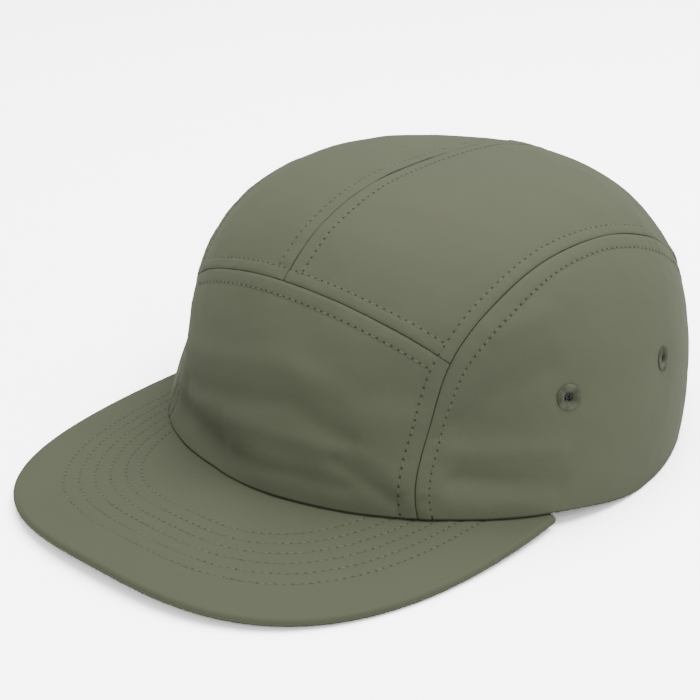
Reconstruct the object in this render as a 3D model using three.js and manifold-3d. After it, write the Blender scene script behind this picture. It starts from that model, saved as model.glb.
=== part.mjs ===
import * as THREE from 'three';
import { mergeVertices } from 'three/addons/utils/BufferGeometryUtils.js';
import Module from 'manifold-3d';

// A five panel cap in millimetres: +X is the wearer's left, -Y the front, +Z up.
// The crown is one smooth skin, given as a distance from the crown's centre in each direction.
// Every cloth piece is a wall between two depths under that skin.

// Crown
const crownHalfWidth = 90;
const crownFrontReach = 87.5;
const crownBackReach = 105.5;
const crownHeight = 94;
const crownLean = 0.19;
const clothThickness = 1.2;
const seamGap = 0.6;

// Squareness of the crown: 2 is an ellipse, more is squarer
const frontPlanPower = 1.92;
const sidePlanPower = 1.98;
const backPlanPower = 2;
const topPlanPower = 1.91;
const frontRisePower = 3.27;
const sideRisePower = 2.96;
const backRisePower = 2.35;
const turnSharpness = 1.5;

// Front panel: how far its top seam lies under the crown's top, and how far it falls at the corners
const frontSeamBelowTop = 23.1;
const frontSeamFall = 16.5;

// Side seam: half the distance between the two seams, as a share of the half width,
// at shares of the half turn from the front rim over the top to the back rim
const SIDE_SEAM = [
  { turn: 0.0, reach: 0.665 },
  { turn: 0.25, reach: 0.621 },
  { turn: 0.5, reach: 0.722 },
  { turn: 0.75, reach: 0.687 },
  { turn: 1.0, reach: 0.536 },
];

// Dents and swells of the soft crown. around and up are shares of half a turn from the front and of
// a right angle from the rim, with their spreads; depth is a share of the crown's height.
const DENTS = [
  { name: 'front corner waist', around: 0.28, up: 0.244, wide: 0.078, tall: 0.122, depth: 0.076 },
  { name: 'front hem pull', around: 0.267, up: 0.0, wide: 0.111, tall: 0.156, depth: 0.0107 },
  { name: 'front panel hollow', around: 0.11, up: 0.2, wide: 0.1, tall: 0.11, depth: 0.012 },
  { name: 'side swell', around: 0.5, up: 0.333, wide: 0.194, tall: 0.2, depth: -0.0056 },
  { name: 'side panel hollow', around: 0.42, up: 0.16, wide: 0.11, tall: 0.055, depth: 0.0085 },
  { name: 'rear side swell', around: 0.639, up: 0.033, wide: 0.167, tall: 0.178, depth: -0.0178 },
  { name: 'rear shoulder', around: 0.778, up: 0.533, wide: 0.167, tall: 0.222, depth: 0.0062 },
  { name: 'back swell', around: 1.0, up: 0.333, wide: 0.194, tall: 0.278, depth: -0.0307 },
];

// Peak
const peakProjection = 57.8;
const peakEndBack = 57.5;
const peakSideInset = 4.5;
const peakEndTurnIn = 4;
const peakEndLength = 20;
const peakSquareness = 2.99;
const peakThickness = 3;
const peakCamber = 6.2;
const peakFall = 0.04;
const peakTuck = 4;
const peakGap = 0.35;
const rimFade = 43;

// Sweatband inside the rim
const sweatbandHeight = 30;
const sweatbandThickness = 1.2;
const sweatbandLift = 0.6;
const layerGap = 0.45;

// Back opening with its strap and clasp
const openingHalfWidth = 32;
const openingHeight = 42;
const strapWidth = 20;
const strapThickness = 1.4;
const strapAboveRim = 3;
const strapLap = 10;
const sweatbandEndClearance = 1;
const claspLength = 26;
const claspWall = 2;
const claspMargin = 3;
const claspClearance = 0.3;

// Sewn eyelets, placed like the dents
const eyeletRadius = 4.4;
const eyeletHoleRadius = 1.2;
const eyeletProud = 0.5;
const eyeletClearance = 0.3;
const EYELETS = [
  { name: 'front', around: 0.392, up: 0.284 },
  { name: 'rear', around: 0.566, up: 0.274 },
];

// Facets
const panelRows = 12;
const frontColumns = 20;
const topColumns = 10;
const topRows = 36;
const peakColumns = 48;
const peakRows = 5;
const edgeFacets = 4;
const bandColumns = 60;
const strapColumns = 16;
const claspColumns = 6;
const roundFacets = 20;

const CLOTH = { color: 0x74776a, roughness: 0.62, metalness: 0 };
const PEAK_CLOTH = { color: 0x717465, roughness: 0.62, metalness: 0 };
const BAND_CLOTH = { color: 0x5f6252, roughness: 0.8, metalness: 0 };
const WEBBING = { color: 0x66695a, roughness: 0.75, metalness: 0 };
const CLASP = { color: 0x2b2d28, roughness: 0.45, metalness: 0 };

const HALF_TURN = Math.PI;
const RIGHT_ANGLE = Math.PI / 2;
const STEPS = 44;
const NUDGE = 1e-3;
const TINY = 1e-9;

const { abs, sin, cos, hypot, atan2, max, min, pow } = Math;
const lerp = THREE.MathUtils.lerp;
const smooth = (share) => THREE.MathUtils.smoothstep(share, 0, 1);
const range = (count) => Array.from({ length: count }, (_, index) => index);

// Where measure changes sign between low and high
function solve(measure, low, high) {
  const rising = measure(high) > measure(low);
  for (let step = 0; step < STEPS; step += 1) {
    const middle = (low + high) / 2;
    if (measure(middle) > 0 === rising) high = middle;
    else low = middle;
  }
  return (low + high) / 2;
}

// Direction by its turn around from the front (positive on the wearer's left) and its angle up
function heading(around, up) {
  return new THREE.Vector3(sin(around) * cos(up), -cos(around) * cos(up), sin(up));
}

// Direction by its roll from the front rim over the top, and its swing towards the wearer's left
function rolled(roll, swing) {
  return new THREE.Vector3(sin(swing), -cos(roll) * cos(swing), sin(roll) * cos(swing));
}

// How far all dents together push the skin in
function dentDepth(direction) {
  const around = abs(atan2(direction.x, -direction.y)) / HALF_TURN;
  const up = Math.asin(THREE.MathUtils.clamp(direction.z, -1, 1)) / RIGHT_ANGLE;
  return DENTS.reduce((sum, dent) => {
    const across = (around - dent.around) / dent.wide;
    const above = (up - dent.up) / dent.tall;
    return sum + dent.depth * crownHeight * Math.exp(-across * across - above * above);
  }, 0);
}

// The crown's outer skin in a direction from its centre
function skin(direction) {
  const { x, y, z } = direction.clone().normalize();
  const turn = y / max(hypot(x, y), TINY);
  const reach = y < 0 ? crownFrontReach : crownBackReach;
  const endPower = y < 0 ? frontPlanPower : backPlanPower;
  const lowPower = lerp(sidePlanPower, endPower, smooth(min(abs(turn) * turnSharpness, 1)));
  const planPower = lerp(lowPower, topPlanPower, z * z);
  const plan = pow(pow(abs(x) / crownHalfWidth, planPower) + pow(abs(y) / reach, planPower), 1 / planPower);
  const towardsFront = pow(max(-turn, 0), 2);
  const towardsBack = pow(max(turn, 0), 2);
  const risePower =
    sideRisePower +
    (frontRisePower - sideRisePower) * towardsFront +
    (backRisePower - sideRisePower) * towardsBack;
  const shell = pow(pow(plan, risePower) + pow(abs(z) / crownHeight, risePower), -1 / risePower);
  const distance = shell - dentDepth({ x, y, z });
  return new THREE.Vector3(x * distance, (y + crownLean * z) * distance, z * distance);
}

// A point at a depth under the skin, square to it
function under(direction, depth) {
  const unit = direction.clone().normalize();
  const helper = abs(unit.x) < 0.8 ? new THREE.Vector3(1, 0, 0) : new THREE.Vector3(0, 1, 0);
  const first = new THREE.Vector3().crossVectors(unit, helper).normalize().multiplyScalar(NUDGE);
  const second = new THREE.Vector3().crossVectors(unit, first).normalize().multiplyScalar(NUDGE);
  const slope = (step) => skin(unit.clone().add(step)).sub(skin(unit.clone().sub(step)));
  const normal = new THREE.Vector3().crossVectors(slope(first), slope(second)).normalize();
  if (normal.dot(unit) < 0) normal.negate();
  return { point: skin(unit).addScaledVector(normal, -depth), normal };
}

// The peak lies on these lengths, tied to the crown's
const peakEnd = -crownFrontReach + peakEndBack;
const peakHalfWidth = crownHalfWidth - peakSideInset;
const peakLength = peakEndBack + peakProjection;

// Outer edge of the peak in plan, evenly spaced from the wearer's right to the left
function peakOutline(count) {
  const fine = count * 16;
  const trail = range(fine + 1).map((index) => {
    const angle = HALF_TURN * (1 - index / fine);
    const across = Math.sign(cos(angle)) * pow(abs(cos(angle)), 2 / peakSquareness);
    const ahead = pow(max(sin(angle), 0), 2 / peakSquareness);
    const nearEnd = max(1 - (ahead * peakLength) / peakEndLength, 0);
    const width = peakHalfWidth - peakEndTurnIn * nearEnd * nearEnd;
    return new THREE.Vector2(width * across, peakEnd - peakLength * ahead);
  });
  const lengths = [0];
  for (let index = 1; index <= fine; index += 1) {
    lengths.push(lengths[index - 1] + trail[index].distanceTo(trail[index - 1]));
  }
  let place = 0;
  return range(count + 1).map((index) => {
    const wanted = (lengths[fine] * index) / count;
    while (place < fine - 1 && lengths[place + 1] < wanted) place += 1;
    const share = (wanted - lengths[place]) / (lengths[place + 1] - lengths[place]);
    return trail[place].clone().lerp(trail[place + 1], min(share, 1));
  });
}

// Height of the peak's top face over its lowest edge
function peakRise(x, y) {
  return peakCamber * (1 - pow(x / peakHalfWidth, 2)) - peakFall * (peakEnd - y);
}

// The peak's edge with its outward direction, and the crest where the rounding of the edge begins
function peakEdges() {
  const outline = peakOutline(peakColumns);
  return outline.map((edge, column) => {
    const tangent = outline[min(column + 1, peakColumns)].clone().sub(outline[max(column - 1, 0)]);
    const atEnd = column === 0 || column === peakColumns;
    const outward = atEnd ? new THREE.Vector2(edge.x, 0) : new THREE.Vector2(tangent.y, -tangent.x);
    outward.normalize();
    return { outward, crest: edge.clone().addScaledVector(outward, -peakThickness / 2) };
  });
}

// The peak's underside touches the floor where its edge dips lowest
const lowestRise = min(...peakEdges().map(({ crest }) => peakRise(crest.x, crest.y)));
const peakTop = (x, y) => peakThickness - lowestRise + peakRise(x, y);

// Height of the crown's hem: just over the peak, then down to the floor behind it
function rimHeight(point) {
  const overPeak = smooth(min(max((peakEnd + rimFade - point.y) / rimFade, 0), 1));
  return (peakTop(point.x, point.y) + peakGap) * overPeak;
}

// Half the distance between the side seams at a roll, through the table's rows
function seamReach(roll) {
  const turn = roll / HALF_TURN;
  return SIDE_SEAM.reduce((sum, row) => {
    const others = SIDE_SEAM.filter((other) => other !== row);
    const weight = others.reduce((part, other) => (part * (turn - other.turn)) / (row.turn - other.turn), 1);
    return sum + weight * row.reach * crownHalfWidth;
  }, 0);
}

const seamSwing = (roll) => solve((swing) => skin(rolled(roll, swing)).x - seamReach(roll), 0, 1.4);
const seamPoint = (roll) => skin(rolled(roll, seamSwing(roll)));

// Half a seam gap as an angle at a roll and swing
const gapAngle = (roll, swing) => seamGap / 2 / skin(rolled(roll, swing)).length();

// The side seam's direction, moved to one side of the gap: 1 is the side panel, -1 the others
function besideSeam(roll, side) {
  const swing = seamSwing(roll);
  return swing + side * gapAngle(roll, swing);
}

const besidePoint = (roll) => skin(rolled(roll, besideSeam(roll, 1)));
const aboveRim = (point) => point.z - rimHeight(point);

// Rolls of the named corners
const frontSeamHeight = crownHeight - frontSeamBelowTop;
const cornerHeight = frontSeamHeight - frontSeamFall;
const centreRoll = solve((roll) => skin(rolled(roll, 0)).z - frontSeamHeight, 0, RIGHT_ANGLE);
const cornerRoll = solve((roll) => seamPoint(roll).z - cornerHeight, 0, RIGHT_ANGLE);
const footRoll = solve((roll) => aboveRim(besidePoint(roll)), -0.1, cornerRoll);
const backRoll = solve((roll) => aboveRim(besidePoint(roll)), HALF_TURN * 0.7, HALF_TURN * 1.05);

// Roll of the front panel's top seam at a share from the centre to the corner
const frontSeamRoll = (share) => lerp(centreRoll, cornerRoll, share * share);

// Direction at a height above the floor or above the rim
function atHeight(around, height) {
  const up = solve((angle) => height(skin(heading(around, angle))), -0.15, RIGHT_ANGLE * 0.9);
  return heading(around, up);
}
const rimDirection = (around) => atHeight(around, aboveRim);

// A closed body through a row of closed loops, with ladder caps on the first and last
function loft(loops) {
  const size = loops[0].length;
  const triangles = [];
  const quad = (a, b, c, d) => triangles.push(a, b, c, a, c, d);
  for (let ring = 0; ring < loops.length - 1; ring += 1) {
    for (let index = 0; index < size; index += 1) {
      const next = (index + 1) % size;
      const base = ring * size;
      quad(base + index, base + next, base + size + next, base + size + index);
    }
  }
  const cap = (base, flip) => {
    const face = (a, b, c) => triangles.push(base + a, base + (flip ? c : b), base + (flip ? b : c));
    let low = 0;
    let high = size - 1;
    while (high - low > 1) {
      face(low, high, low + 1);
      if (high - low > 2) face(low + 1, high, high - 1);
      low += 1;
      high -= 1;
    }
  };
  cap(0, false);
  cap((loops.length - 1) * size, true);
  return solid(loops.flat(), triangles);
}

// Indexed geometry with its faces pointing out
function solid(points, triangles) {
  const volume = range(triangles.length / 3).reduce((sum, face) => {
    const [a, b, c] = [0, 1, 2].map((corner) => points[triangles[3 * face + corner]]);
    return sum + a.dot(new THREE.Vector3().crossVectors(b, c));
  }, 0);
  if (volume < 0) {
    for (let face = 0; face < triangles.length; face += 3) {
      [triangles[face + 1], triangles[face + 2]] = [triangles[face + 2], triangles[face + 1]];
    }
  }
  const geometry = new THREE.BufferGeometry();
  const flat = points.flatMap((point) => [point.x, point.y, point.z]);
  geometry.setAttribute('position', new THREE.Float32BufferAttribute(flat, 3));
  geometry.setIndex(triangles);
  geometry.computeVertexNormals();
  return geometry;
}

// A loop down the outer face and back up the inner one. The ends that lie on the rim stay level.
function wallLoop(directions, outerDepth, innerDepth, levelEnd = -1) {
  const face = (depth) =>
    directions.map((direction, index) => {
      const { point } = under(direction, depth);
      if (index === levelEnd) point.z = skin(direction).z;
      return point;
    });
  return [...face(outerDepth), ...face(innerDepth).reverse()];
}

// Front panel: columns from the wearer's right seam to the left one
function frontPanel() {
  const loops = range(frontColumns + 1).map((column) => {
    const share = (2 * column) / frontColumns - 1;
    const swing = (roll) => share * besideSeam(roll, -1);
    const bottom = solve((roll) => aboveRim(skin(rolled(roll, swing(roll)))), -0.1, cornerRoll);
    const seam = frontSeamRoll(abs(share));
    const top = seam - gapAngle(seam, swing(seam)) / cos(swing(seam));
    const directions = range(panelRows + 1).map((row) => {
      const roll = lerp(bottom, top, row / panelRows);
      return rolled(roll, swing(roll));
    });
    return wallLoop(directions, 0, clothThickness, 0);
  });
  return loft(loops);
}

// Left top panel: columns from the centre seam out to the side seam
function topPanel() {
  const loops = range(topColumns + 1).map((column) => {
    const share = column / topColumns;
    const swing = (roll) => lerp(gapAngle(roll, 0), besideSeam(roll, -1), share);
    const seam = frontSeamRoll(share);
    const start = seam + gapAngle(seam, swing(seam)) / cos(swing(seam));
    const directions = range(topRows + 1).map((row) => {
      const roll = lerp(start, backRoll, row / topRows);
      return rolled(roll, swing(roll));
    });
    return wallLoop(directions, 0, clothThickness, topRows);
  });
  return loft(loops);
}

// Left side panel: a patch between its seam and the rim, in directions
function sidePanel() {
  const columns = topRows - panelRows;
  const onSeam = (roll) => rolled(roll, besideSeam(roll, 1));
  const front = range(panelRows + 1).map((row) => onSeam(lerp(footRoll, cornerRoll, row / panelRows)));
  const along = range(topRows + 1).map((step) => onSeam(lerp(cornerRoll, backRoll, step / topRows)));
  const top = along.slice(0, columns + 1);
  const back = along.slice(columns).reverse();
  const frontAround = atan2(front[0].x, -front[0].y);
  const backAround = atan2(back[0].x, -back[0].y);
  const rim = range(columns + 1).map((column) => rimDirection(lerp(frontAround, backAround, column / columns)));
  const corner = (direction, share) => direction.clone().multiplyScalar(share);
  const loops = range(columns + 1).map((column) => {
    const across = column / columns;
    const directions = range(panelRows + 1).map((row) => {
      const up = row / panelRows;
      return rim[column]
        .clone()
        .lerp(top[column], up)
        .add(front[row].clone().lerp(back[row], across))
        .sub(corner(rim[0], (1 - across) * (1 - up)))
        .sub(corner(rim[columns], across * (1 - up)))
        .sub(corner(top[0], (1 - across) * up))
        .sub(corner(top[columns], across * up))
        .normalize();
    });
    return wallLoop(directions, 0, clothThickness, 0);
  });
  return loft(loops);
}

// A point on the inner edge of the peak, tucked in under the crown's wall
function peakInner(around) {
  const step = (offset) => skin(rimDirection(around + offset));
  const ahead = step(NUDGE).sub(step(-NUDGE));
  const inward = new THREE.Vector2(-ahead.y, ahead.x).normalize();
  const place = step(0);
  return new THREE.Vector2(place.x + inward.x * peakTuck, place.y + inward.y * peakTuck);
}

// The peak: a cambered plate with a round outer edge
function peak() {
  const round = peakThickness / 2;
  const endAround = solve((around) => peakInner(around).y - peakEnd, 0.3, RIGHT_ANGLE * 1.3);
  const at = (place, drop) => new THREE.Vector3(place.x, place.y, peakTop(place.x, place.y) - drop);
  const loops = peakEdges().map(({ crest, outward }, column) => {
    const inner = peakInner(lerp(-endAround, endAround, column / peakColumns));
    const flat = range(peakRows + 1).map((row) => inner.clone().lerp(crest, row / peakRows));
    const edge = range(edgeFacets - 1).map((facet) => {
      const angle = RIGHT_ANGLE - (HALF_TURN * (facet + 1)) / edgeFacets;
      const place = crest.clone().addScaledVector(outward, round * cos(angle));
      return new THREE.Vector3(place.x, place.y, peakTop(crest.x, crest.y) - round + round * sin(angle));
    });
    const upper = flat.map((place) => at(place, 0));
    const lower = flat.map((place) => at(place, peakThickness)).reverse();
    return [...upper, ...edge, ...lower];
  });
  return loft(loops);
}

// A band that follows the rim between two turns, two heights over it and two depths
function band({ from, to, columns, low, high, outerDepth, innerDepth }) {
  const rows = 4;
  const loops = range(columns + 1).map((column) => {
    const around = lerp(from, to, column / columns);
    const directions = range(rows + 1).map((row) => {
      const height = lerp(low, high, row / rows);
      return atHeight(around, (point) => aboveRim(point) - height);
    });
    return wallLoop(directions, outerDepth, innerDepth, 0);
  });
  return loft(loops);
}

// The turn at which the back rim reaches a distance from the centre
function backTurn(distance) {
  return solve((around) => skin(rimDirection(around)).x - distance, RIGHT_ANGLE * 1.2, HALF_TURN);
}

const liningDepth = clothThickness + layerGap;
const strapEnd = backTurn(openingHalfWidth + strapLap);
const strapHigh = strapAboveRim + strapWidth;

function sweatband() {
  const end = backTurn(openingHalfWidth + strapLap + sweatbandEndClearance);
  const innerDepth = liningDepth + sweatbandThickness;
  return band({
    from: -end,
    to: end,
    columns: bandColumns,
    low: sweatbandLift,
    high: sweatbandHeight,
    outerDepth: liningDepth,
    innerDepth,
  });
}

// The strap or, with a clearance, the slot that it runs through
function strap(clearance = 0, reach = strapEnd, columns = strapColumns) {
  return band({
    from: 2 * HALF_TURN - reach,
    to: reach,
    columns,
    low: strapAboveRim - clearance,
    high: strapHigh + clearance,
    outerDepth: liningDepth - clearance,
    innerDepth: liningDepth + strapThickness + clearance,
  });
}

const wasm = await Module();
wasm.setup();

function toManifold(geometry) {
  const plain = geometry.clone();
  plain.deleteAttribute('normal');
  plain.deleteAttribute('uv');
  const merged = mergeVertices(plain);
  const vertProperties = Float32Array.from(merged.attributes.position.array);
  const triVerts = Uint32Array.from(merged.index.array);
  return new wasm.Manifold(new wasm.Mesh({ numProp: 3, vertProperties, triVerts }));
}

function cut(geometry, ...tools) {
  const result = tools.reduce((body, tool) => body.subtract(toManifold(tool)), toManifold(geometry));
  const mesh = result.getMesh();
  const left = new THREE.BufferGeometry();
  left.setAttribute('position', new THREE.BufferAttribute(Float32Array.from(mesh.vertProperties), 3));
  left.setIndex(new THREE.BufferAttribute(Uint32Array.from(mesh.triVerts), 1));
  left.computeVertexNormals();
  return left;
}

function mirrored(geometry) {
  const copy = geometry.clone().scale(-1, 1, 1);
  const index = copy.index.array;
  for (let face = 0; face < index.length; face += 3) {
    [index[face + 1], index[face + 2]] = [index[face + 2], index[face + 1]];
  }
  copy.computeVertexNormals();
  return copy;
}

// The arch that is cut out of the two top panels at the back
function backOpening() {
  const below = openingHeight / 4;
  const outline = new THREE.Shape();
  outline.moveTo(-openingHalfWidth, -below);
  outline.lineTo(openingHalfWidth, -below);
  outline.lineTo(openingHalfWidth, 0);
  outline.absellipse(0, 0, openingHalfWidth, openingHeight, 0, HALF_TURN, false, 0);
  const depth = crownBackReach * 2;
  const tool = new THREE.ExtrudeGeometry(outline, { depth, bevelEnabled: false, curveSegments: roundFacets });
  return tool.rotateX(RIGHT_ANGLE).translate(0, depth, 0);
}

// Where an eyelet sits: its place at mid cloth, and the turn that lays its axis square to the cloth
function eyeletSeat(row) {
  const direction = heading(row.around * HALF_TURN, row.up * RIGHT_ANGLE);
  const { point, normal } = under(direction, clothThickness / 2);
  const turn = new THREE.Quaternion().setFromUnitVectors(new THREE.Vector3(0, 1, 0), normal);
  return { point, turn };
}

function placed(geometry, { point, turn }) {
  return geometry.applyQuaternion(turn).translate(point.x, point.y, point.z);
}

const eyeletHole = (row) => {
  const radius = eyeletRadius + eyeletClearance;
  const tool = new THREE.CylinderGeometry(radius, radius, clothThickness * 6, roundFacets);
  return placed(tool, eyeletSeat(row));
};

// A ring of thread, a little proud of the cloth outside and rounded off
function eyeletRing(row) {
  const half = clothThickness / 2;
  const crest = half + eyeletProud;
  const middle = (eyeletRadius + eyeletHoleRadius) / 2;
  const profile = [
    [eyeletHoleRadius, -half],
    [eyeletRadius, -half],
    [eyeletRadius, half],
    [middle, crest],
    [eyeletHoleRadius, half],
    [eyeletHoleRadius, -half],
  ].map(([radius, height]) => new THREE.Vector2(radius, height));
  return placed(new THREE.LatheGeometry(profile, roundFacets), eyeletSeat(row));
}

function clasp() {
  const halfTurnLength = claspLength / 2 / crownBackReach;
  const body = band({
    from: HALF_TURN - halfTurnLength,
    to: HALF_TURN + halfTurnLength,
    columns: claspColumns,
    low: strapAboveRim - claspMargin + claspClearance,
    high: strapHigh + claspMargin,
    outerDepth: liningDepth - claspWall,
    innerDepth: liningDepth + strapThickness + claspWall,
  });
  return cut(body, strap(claspClearance, strapEnd, strapColumns));
}

const cap = new THREE.Group();

function add(name, geometry, finish) {
  const mesh = new THREE.Mesh(geometry, new THREE.MeshStandardMaterial(finish));
  mesh.name = name;
  cap.add(mesh);
}

// Adds a piece of the wearer's left, and its mirror image on the right
function addPair(name, geometry, finish) {
  add(`${name}_left`, geometry, finish);
  add(`${name}_right`, mirrored(geometry), finish);
}

add('front_panel', frontPanel(), CLOTH);
addPair('top_panel', cut(topPanel(), backOpening()), CLOTH);
addPair('side_panel', cut(sidePanel(), ...EYELETS.map(eyeletHole)), CLOTH);
add('peak', peak(), PEAK_CLOTH);
add('sweatband', sweatband(), BAND_CLOTH);
EYELETS.forEach((row) => addPair(`eyelet_${row.name}`, mergeVertices(eyeletRing(row)), CLOTH));
add('back_strap', strap(), WEBBING);
add('strap_clasp', clasp(), CLASP);

// The origin is under the middle of the cap, on the floor
const box = new THREE.Box3().setFromObject(cap);
cap.position.set(0, -(box.min.y + box.max.y) / 2, -box.min.z);

export default cap;
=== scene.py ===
"""A five panel cap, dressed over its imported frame.

The crown's panels, the peak, the sweatband, the eyelets, the strap and its clasp are
modelled here in metres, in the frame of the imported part. Lengths are worked out about
the crown's centre on the floor, and every mesh is moved to the frame when it is made.
"""

import logging
import math
from abc import ABC, abstractmethod
from dataclasses import dataclass, field
from enum import Enum
from functools import cached_property, reduce
from typing import Callable, ClassVar, Sequence

import bmesh
import bpy
import numpy as np
from mathutils import Matrix, Vector

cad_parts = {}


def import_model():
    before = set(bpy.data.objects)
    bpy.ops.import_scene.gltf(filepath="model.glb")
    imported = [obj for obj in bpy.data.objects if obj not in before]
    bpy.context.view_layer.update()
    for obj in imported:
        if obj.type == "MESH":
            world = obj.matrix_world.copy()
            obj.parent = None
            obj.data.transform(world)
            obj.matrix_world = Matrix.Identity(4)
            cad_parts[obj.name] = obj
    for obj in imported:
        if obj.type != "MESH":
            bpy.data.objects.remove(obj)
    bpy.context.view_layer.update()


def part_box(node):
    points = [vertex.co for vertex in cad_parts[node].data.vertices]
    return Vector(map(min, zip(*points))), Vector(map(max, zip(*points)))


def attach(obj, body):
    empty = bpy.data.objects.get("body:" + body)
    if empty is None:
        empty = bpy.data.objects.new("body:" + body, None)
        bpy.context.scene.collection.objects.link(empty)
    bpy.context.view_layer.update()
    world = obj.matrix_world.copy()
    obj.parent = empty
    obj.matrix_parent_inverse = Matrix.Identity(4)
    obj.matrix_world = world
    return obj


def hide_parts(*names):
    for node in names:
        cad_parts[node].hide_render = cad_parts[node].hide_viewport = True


LOG = logging.getLogger("cap")

HALF_TURN = math.pi
RIGHT_ANGLE = math.pi / 2
TINY = 1e-9
FAR = 0.05
PITCH = 0.00255
BAND_PITCH = 0.0029
CROWN_HEIGHT = 0.094
RIM_RADIUS = 0.092
PACKED_PROJECTION = 0.0578

Array = np.ndarray
Draft = bmesh.types.BMesh
Face = bmesh.types.BMFace
Piece = bpy.types.Object
Material = bpy.types.Material
Node = bpy.types.Node
Socket = bpy.types.NodeSocket
Tree = bpy.types.NodeTree
Colour = tuple[float, float, float]


class Side(Enum):
    """Which half of the cap a piece belongs to, as the sign of X."""

    LEFT = 1
    RIGHT = -1

    @property
    def label(self) -> str:
        """The side in the names of nodes."""
        return self.name.lower()

    def mirrored(self, points: Array) -> Array:
        """Points or directions of the left half, as they lie on this side."""
        return points * np.array([self.value, 1.0, 1.0])


class Layer(Enum):
    """Names of the maps that carry where a point lies against each seam."""

    CLOTH = "cloth"
    SIDE_SEAM = "side_seam"
    FRONT_SEAM = "front_seam"
    CENTRE_SEAM = "centre_seam"
    HEM = "hem"
    ARCH = "arch"
    # the peak's rim, along whose lower part a line of painted shade runs
    EDGE = "edge"


def between(low: Array, high: Array, share: Array) -> Array:
    """Point between low and high at a share."""
    return low + (high - low) * share


def smooth(share: Array) -> Array:
    """Soft step from 0 to 1."""
    held = np.clip(share, 0.0, 1.0)
    return held * held * (3.0 - 2.0 * held)


def together(*parts: Array | float) -> Array:
    """Vectors made of their parts."""
    return np.stack(np.broadcast_arrays(*parts), axis=-1)


def size_of(vectors: Array) -> Array:
    """Lengths of vectors."""
    return np.linalg.norm(vectors, axis=-1)


def unit(vectors: Array) -> Array:
    """Vectors of length one."""
    return vectors / np.maximum(size_of(vectors)[..., None], TINY)


def bell(distance: Array, width: float) -> Array:
    """Soft bump of height 1 around a distance of 0."""
    return np.exp(-((distance / width) ** 2))


def opaque(colour: Colour, share: float = 1.0) -> tuple[float, float, float, float]:
    """A colour at a share of its brightness, with full cover."""
    return (*[min(part * share, 1.0) for part in colour], 1.0)


def solve(measure: Callable[[Array], Array], low: float, high: float, steps: int = 28) -> Array:
    """Finds where a measure changes sign, for many values at once.

    Args:
        measure: Function of an array that changes sign once between low and high.
        low: Lowest value to try.
        high: Highest value to try.
        steps: Number of halvings.

    Returns:
        The values at which the measure is nearly 0.
    """
    rising = measure(high) > measure(low)
    for _ in range(steps):
        middle = (low + high) / 2
        above = (measure(middle) > 0) == rising
        high = np.where(above, middle, high)
        low = np.where(above, low, middle)
    return (low + high) / 2


def lengths_of(trail: Array) -> Array:
    """Length along a trail at each of its points."""
    steps = size_of(np.diff(trail, axis=0))
    return np.concatenate([[0.0], np.cumsum(steps)])


def traced(wanted: Array, lengths: Array, trail: Array) -> Array:
    """Values of a trail at some lengths along it."""
    return together(*[np.interp(wanted, lengths, part) for part in trail.T])


def evenly(trail: Array, count: int) -> Array:
    """Points at equal steps along a trail of points."""
    lengths = lengths_of(trail)
    return traced(np.linspace(0, lengths[-1], count + 1), lengths, trail)


def turned_down(away: Array, size: float) -> Array:
    """Drop of a rounded edge at distances from it."""
    short = np.clip(size - away, 0.0, size)
    return size - np.sqrt(np.maximum(size * size - short * short, 0.0))


def zero_of(measure: Callable[[Array], Array], low: float, high: float) -> float:
    """The one number between low and high at which a measure is 0."""
    return float(solve(measure, low, high))


def heading(around: Array, up: Array) -> Array:
    """Directions by their turn from the front and their angle up."""
    return together(np.sin(around) * np.cos(up), -np.cos(around) * np.cos(up), np.sin(up))


def rolled(roll: Array, swing: Array) -> Array:
    """Directions by their roll over the top and their swing to the left."""
    return together(np.sin(swing), -np.cos(roll) * np.cos(swing), np.sin(roll) * np.cos(swing))


def spaced(length: float, coarse: float, fine: float, reach: float = 0.0022) -> Array:
    """Places from 0 to 1 along a length, closer together near both ends.

    Args:
        length: Length to divide, in metres.
        coarse: Step in the middle.
        fine: Step at both ends.
        reach: How far from an end the steps stay small.

    Returns:
        The shares of the length, rising from 0 to 1.
    """
    places = [0.0]
    while places[-1] < length:
        from_end = min(places[-1], length - places[-1])
        share = min(from_end / reach, 1.0)
        places.append(places[-1] + fine + (coarse - fine) * share * share)
    return np.array(places) / places[-1]


@dataclass(frozen=True)
class Dent:
    """A soft dent or swell of the skin, the same on both sides.

    around and up are shares of half a turn from the front and of a right angle from the
    rim, with their spreads. depth is in metres, and a swell has a negative one.
    """

    around: float
    up: float
    wide: float
    tall: float
    depth: float


@dataclass(frozen=True)
class Fold:
    """A soft fold of the cloth along a bent line, on one side.

    corners are pairs of shares, as around and up of a dent, with the sign of the side.
    width and depth are in metres, and a ridge has a negative depth.
    """

    corners: tuple[tuple[float, float], ...]
    width: float
    depth: float


BODY_DENTS = (
    Dent(0.28, 0.244, 0.078, 0.122, 0.076 * CROWN_HEIGHT),
    Dent(0.267, 0.0, 0.111, 0.156, 0.0107 * CROWN_HEIGHT),
    Dent(0.11, 0.2, 0.1, 0.11, 0.012 * CROWN_HEIGHT),
    Dent(0.5, 0.333, 0.194, 0.2, -0.0056 * CROWN_HEIGHT),
    Dent(0.42, 0.16, 0.11, 0.055, 0.0085 * CROWN_HEIGHT),
    Dent(0.639, 0.033, 0.167, 0.178, -0.0178 * CROWN_HEIGHT),
    Dent(0.778, 0.533, 0.167, 0.222, 0.0062 * CROWN_HEIGHT),
    Dent(1.0, 0.333, 0.194, 0.278, -0.0307 * CROWN_HEIGHT),
)

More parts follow.
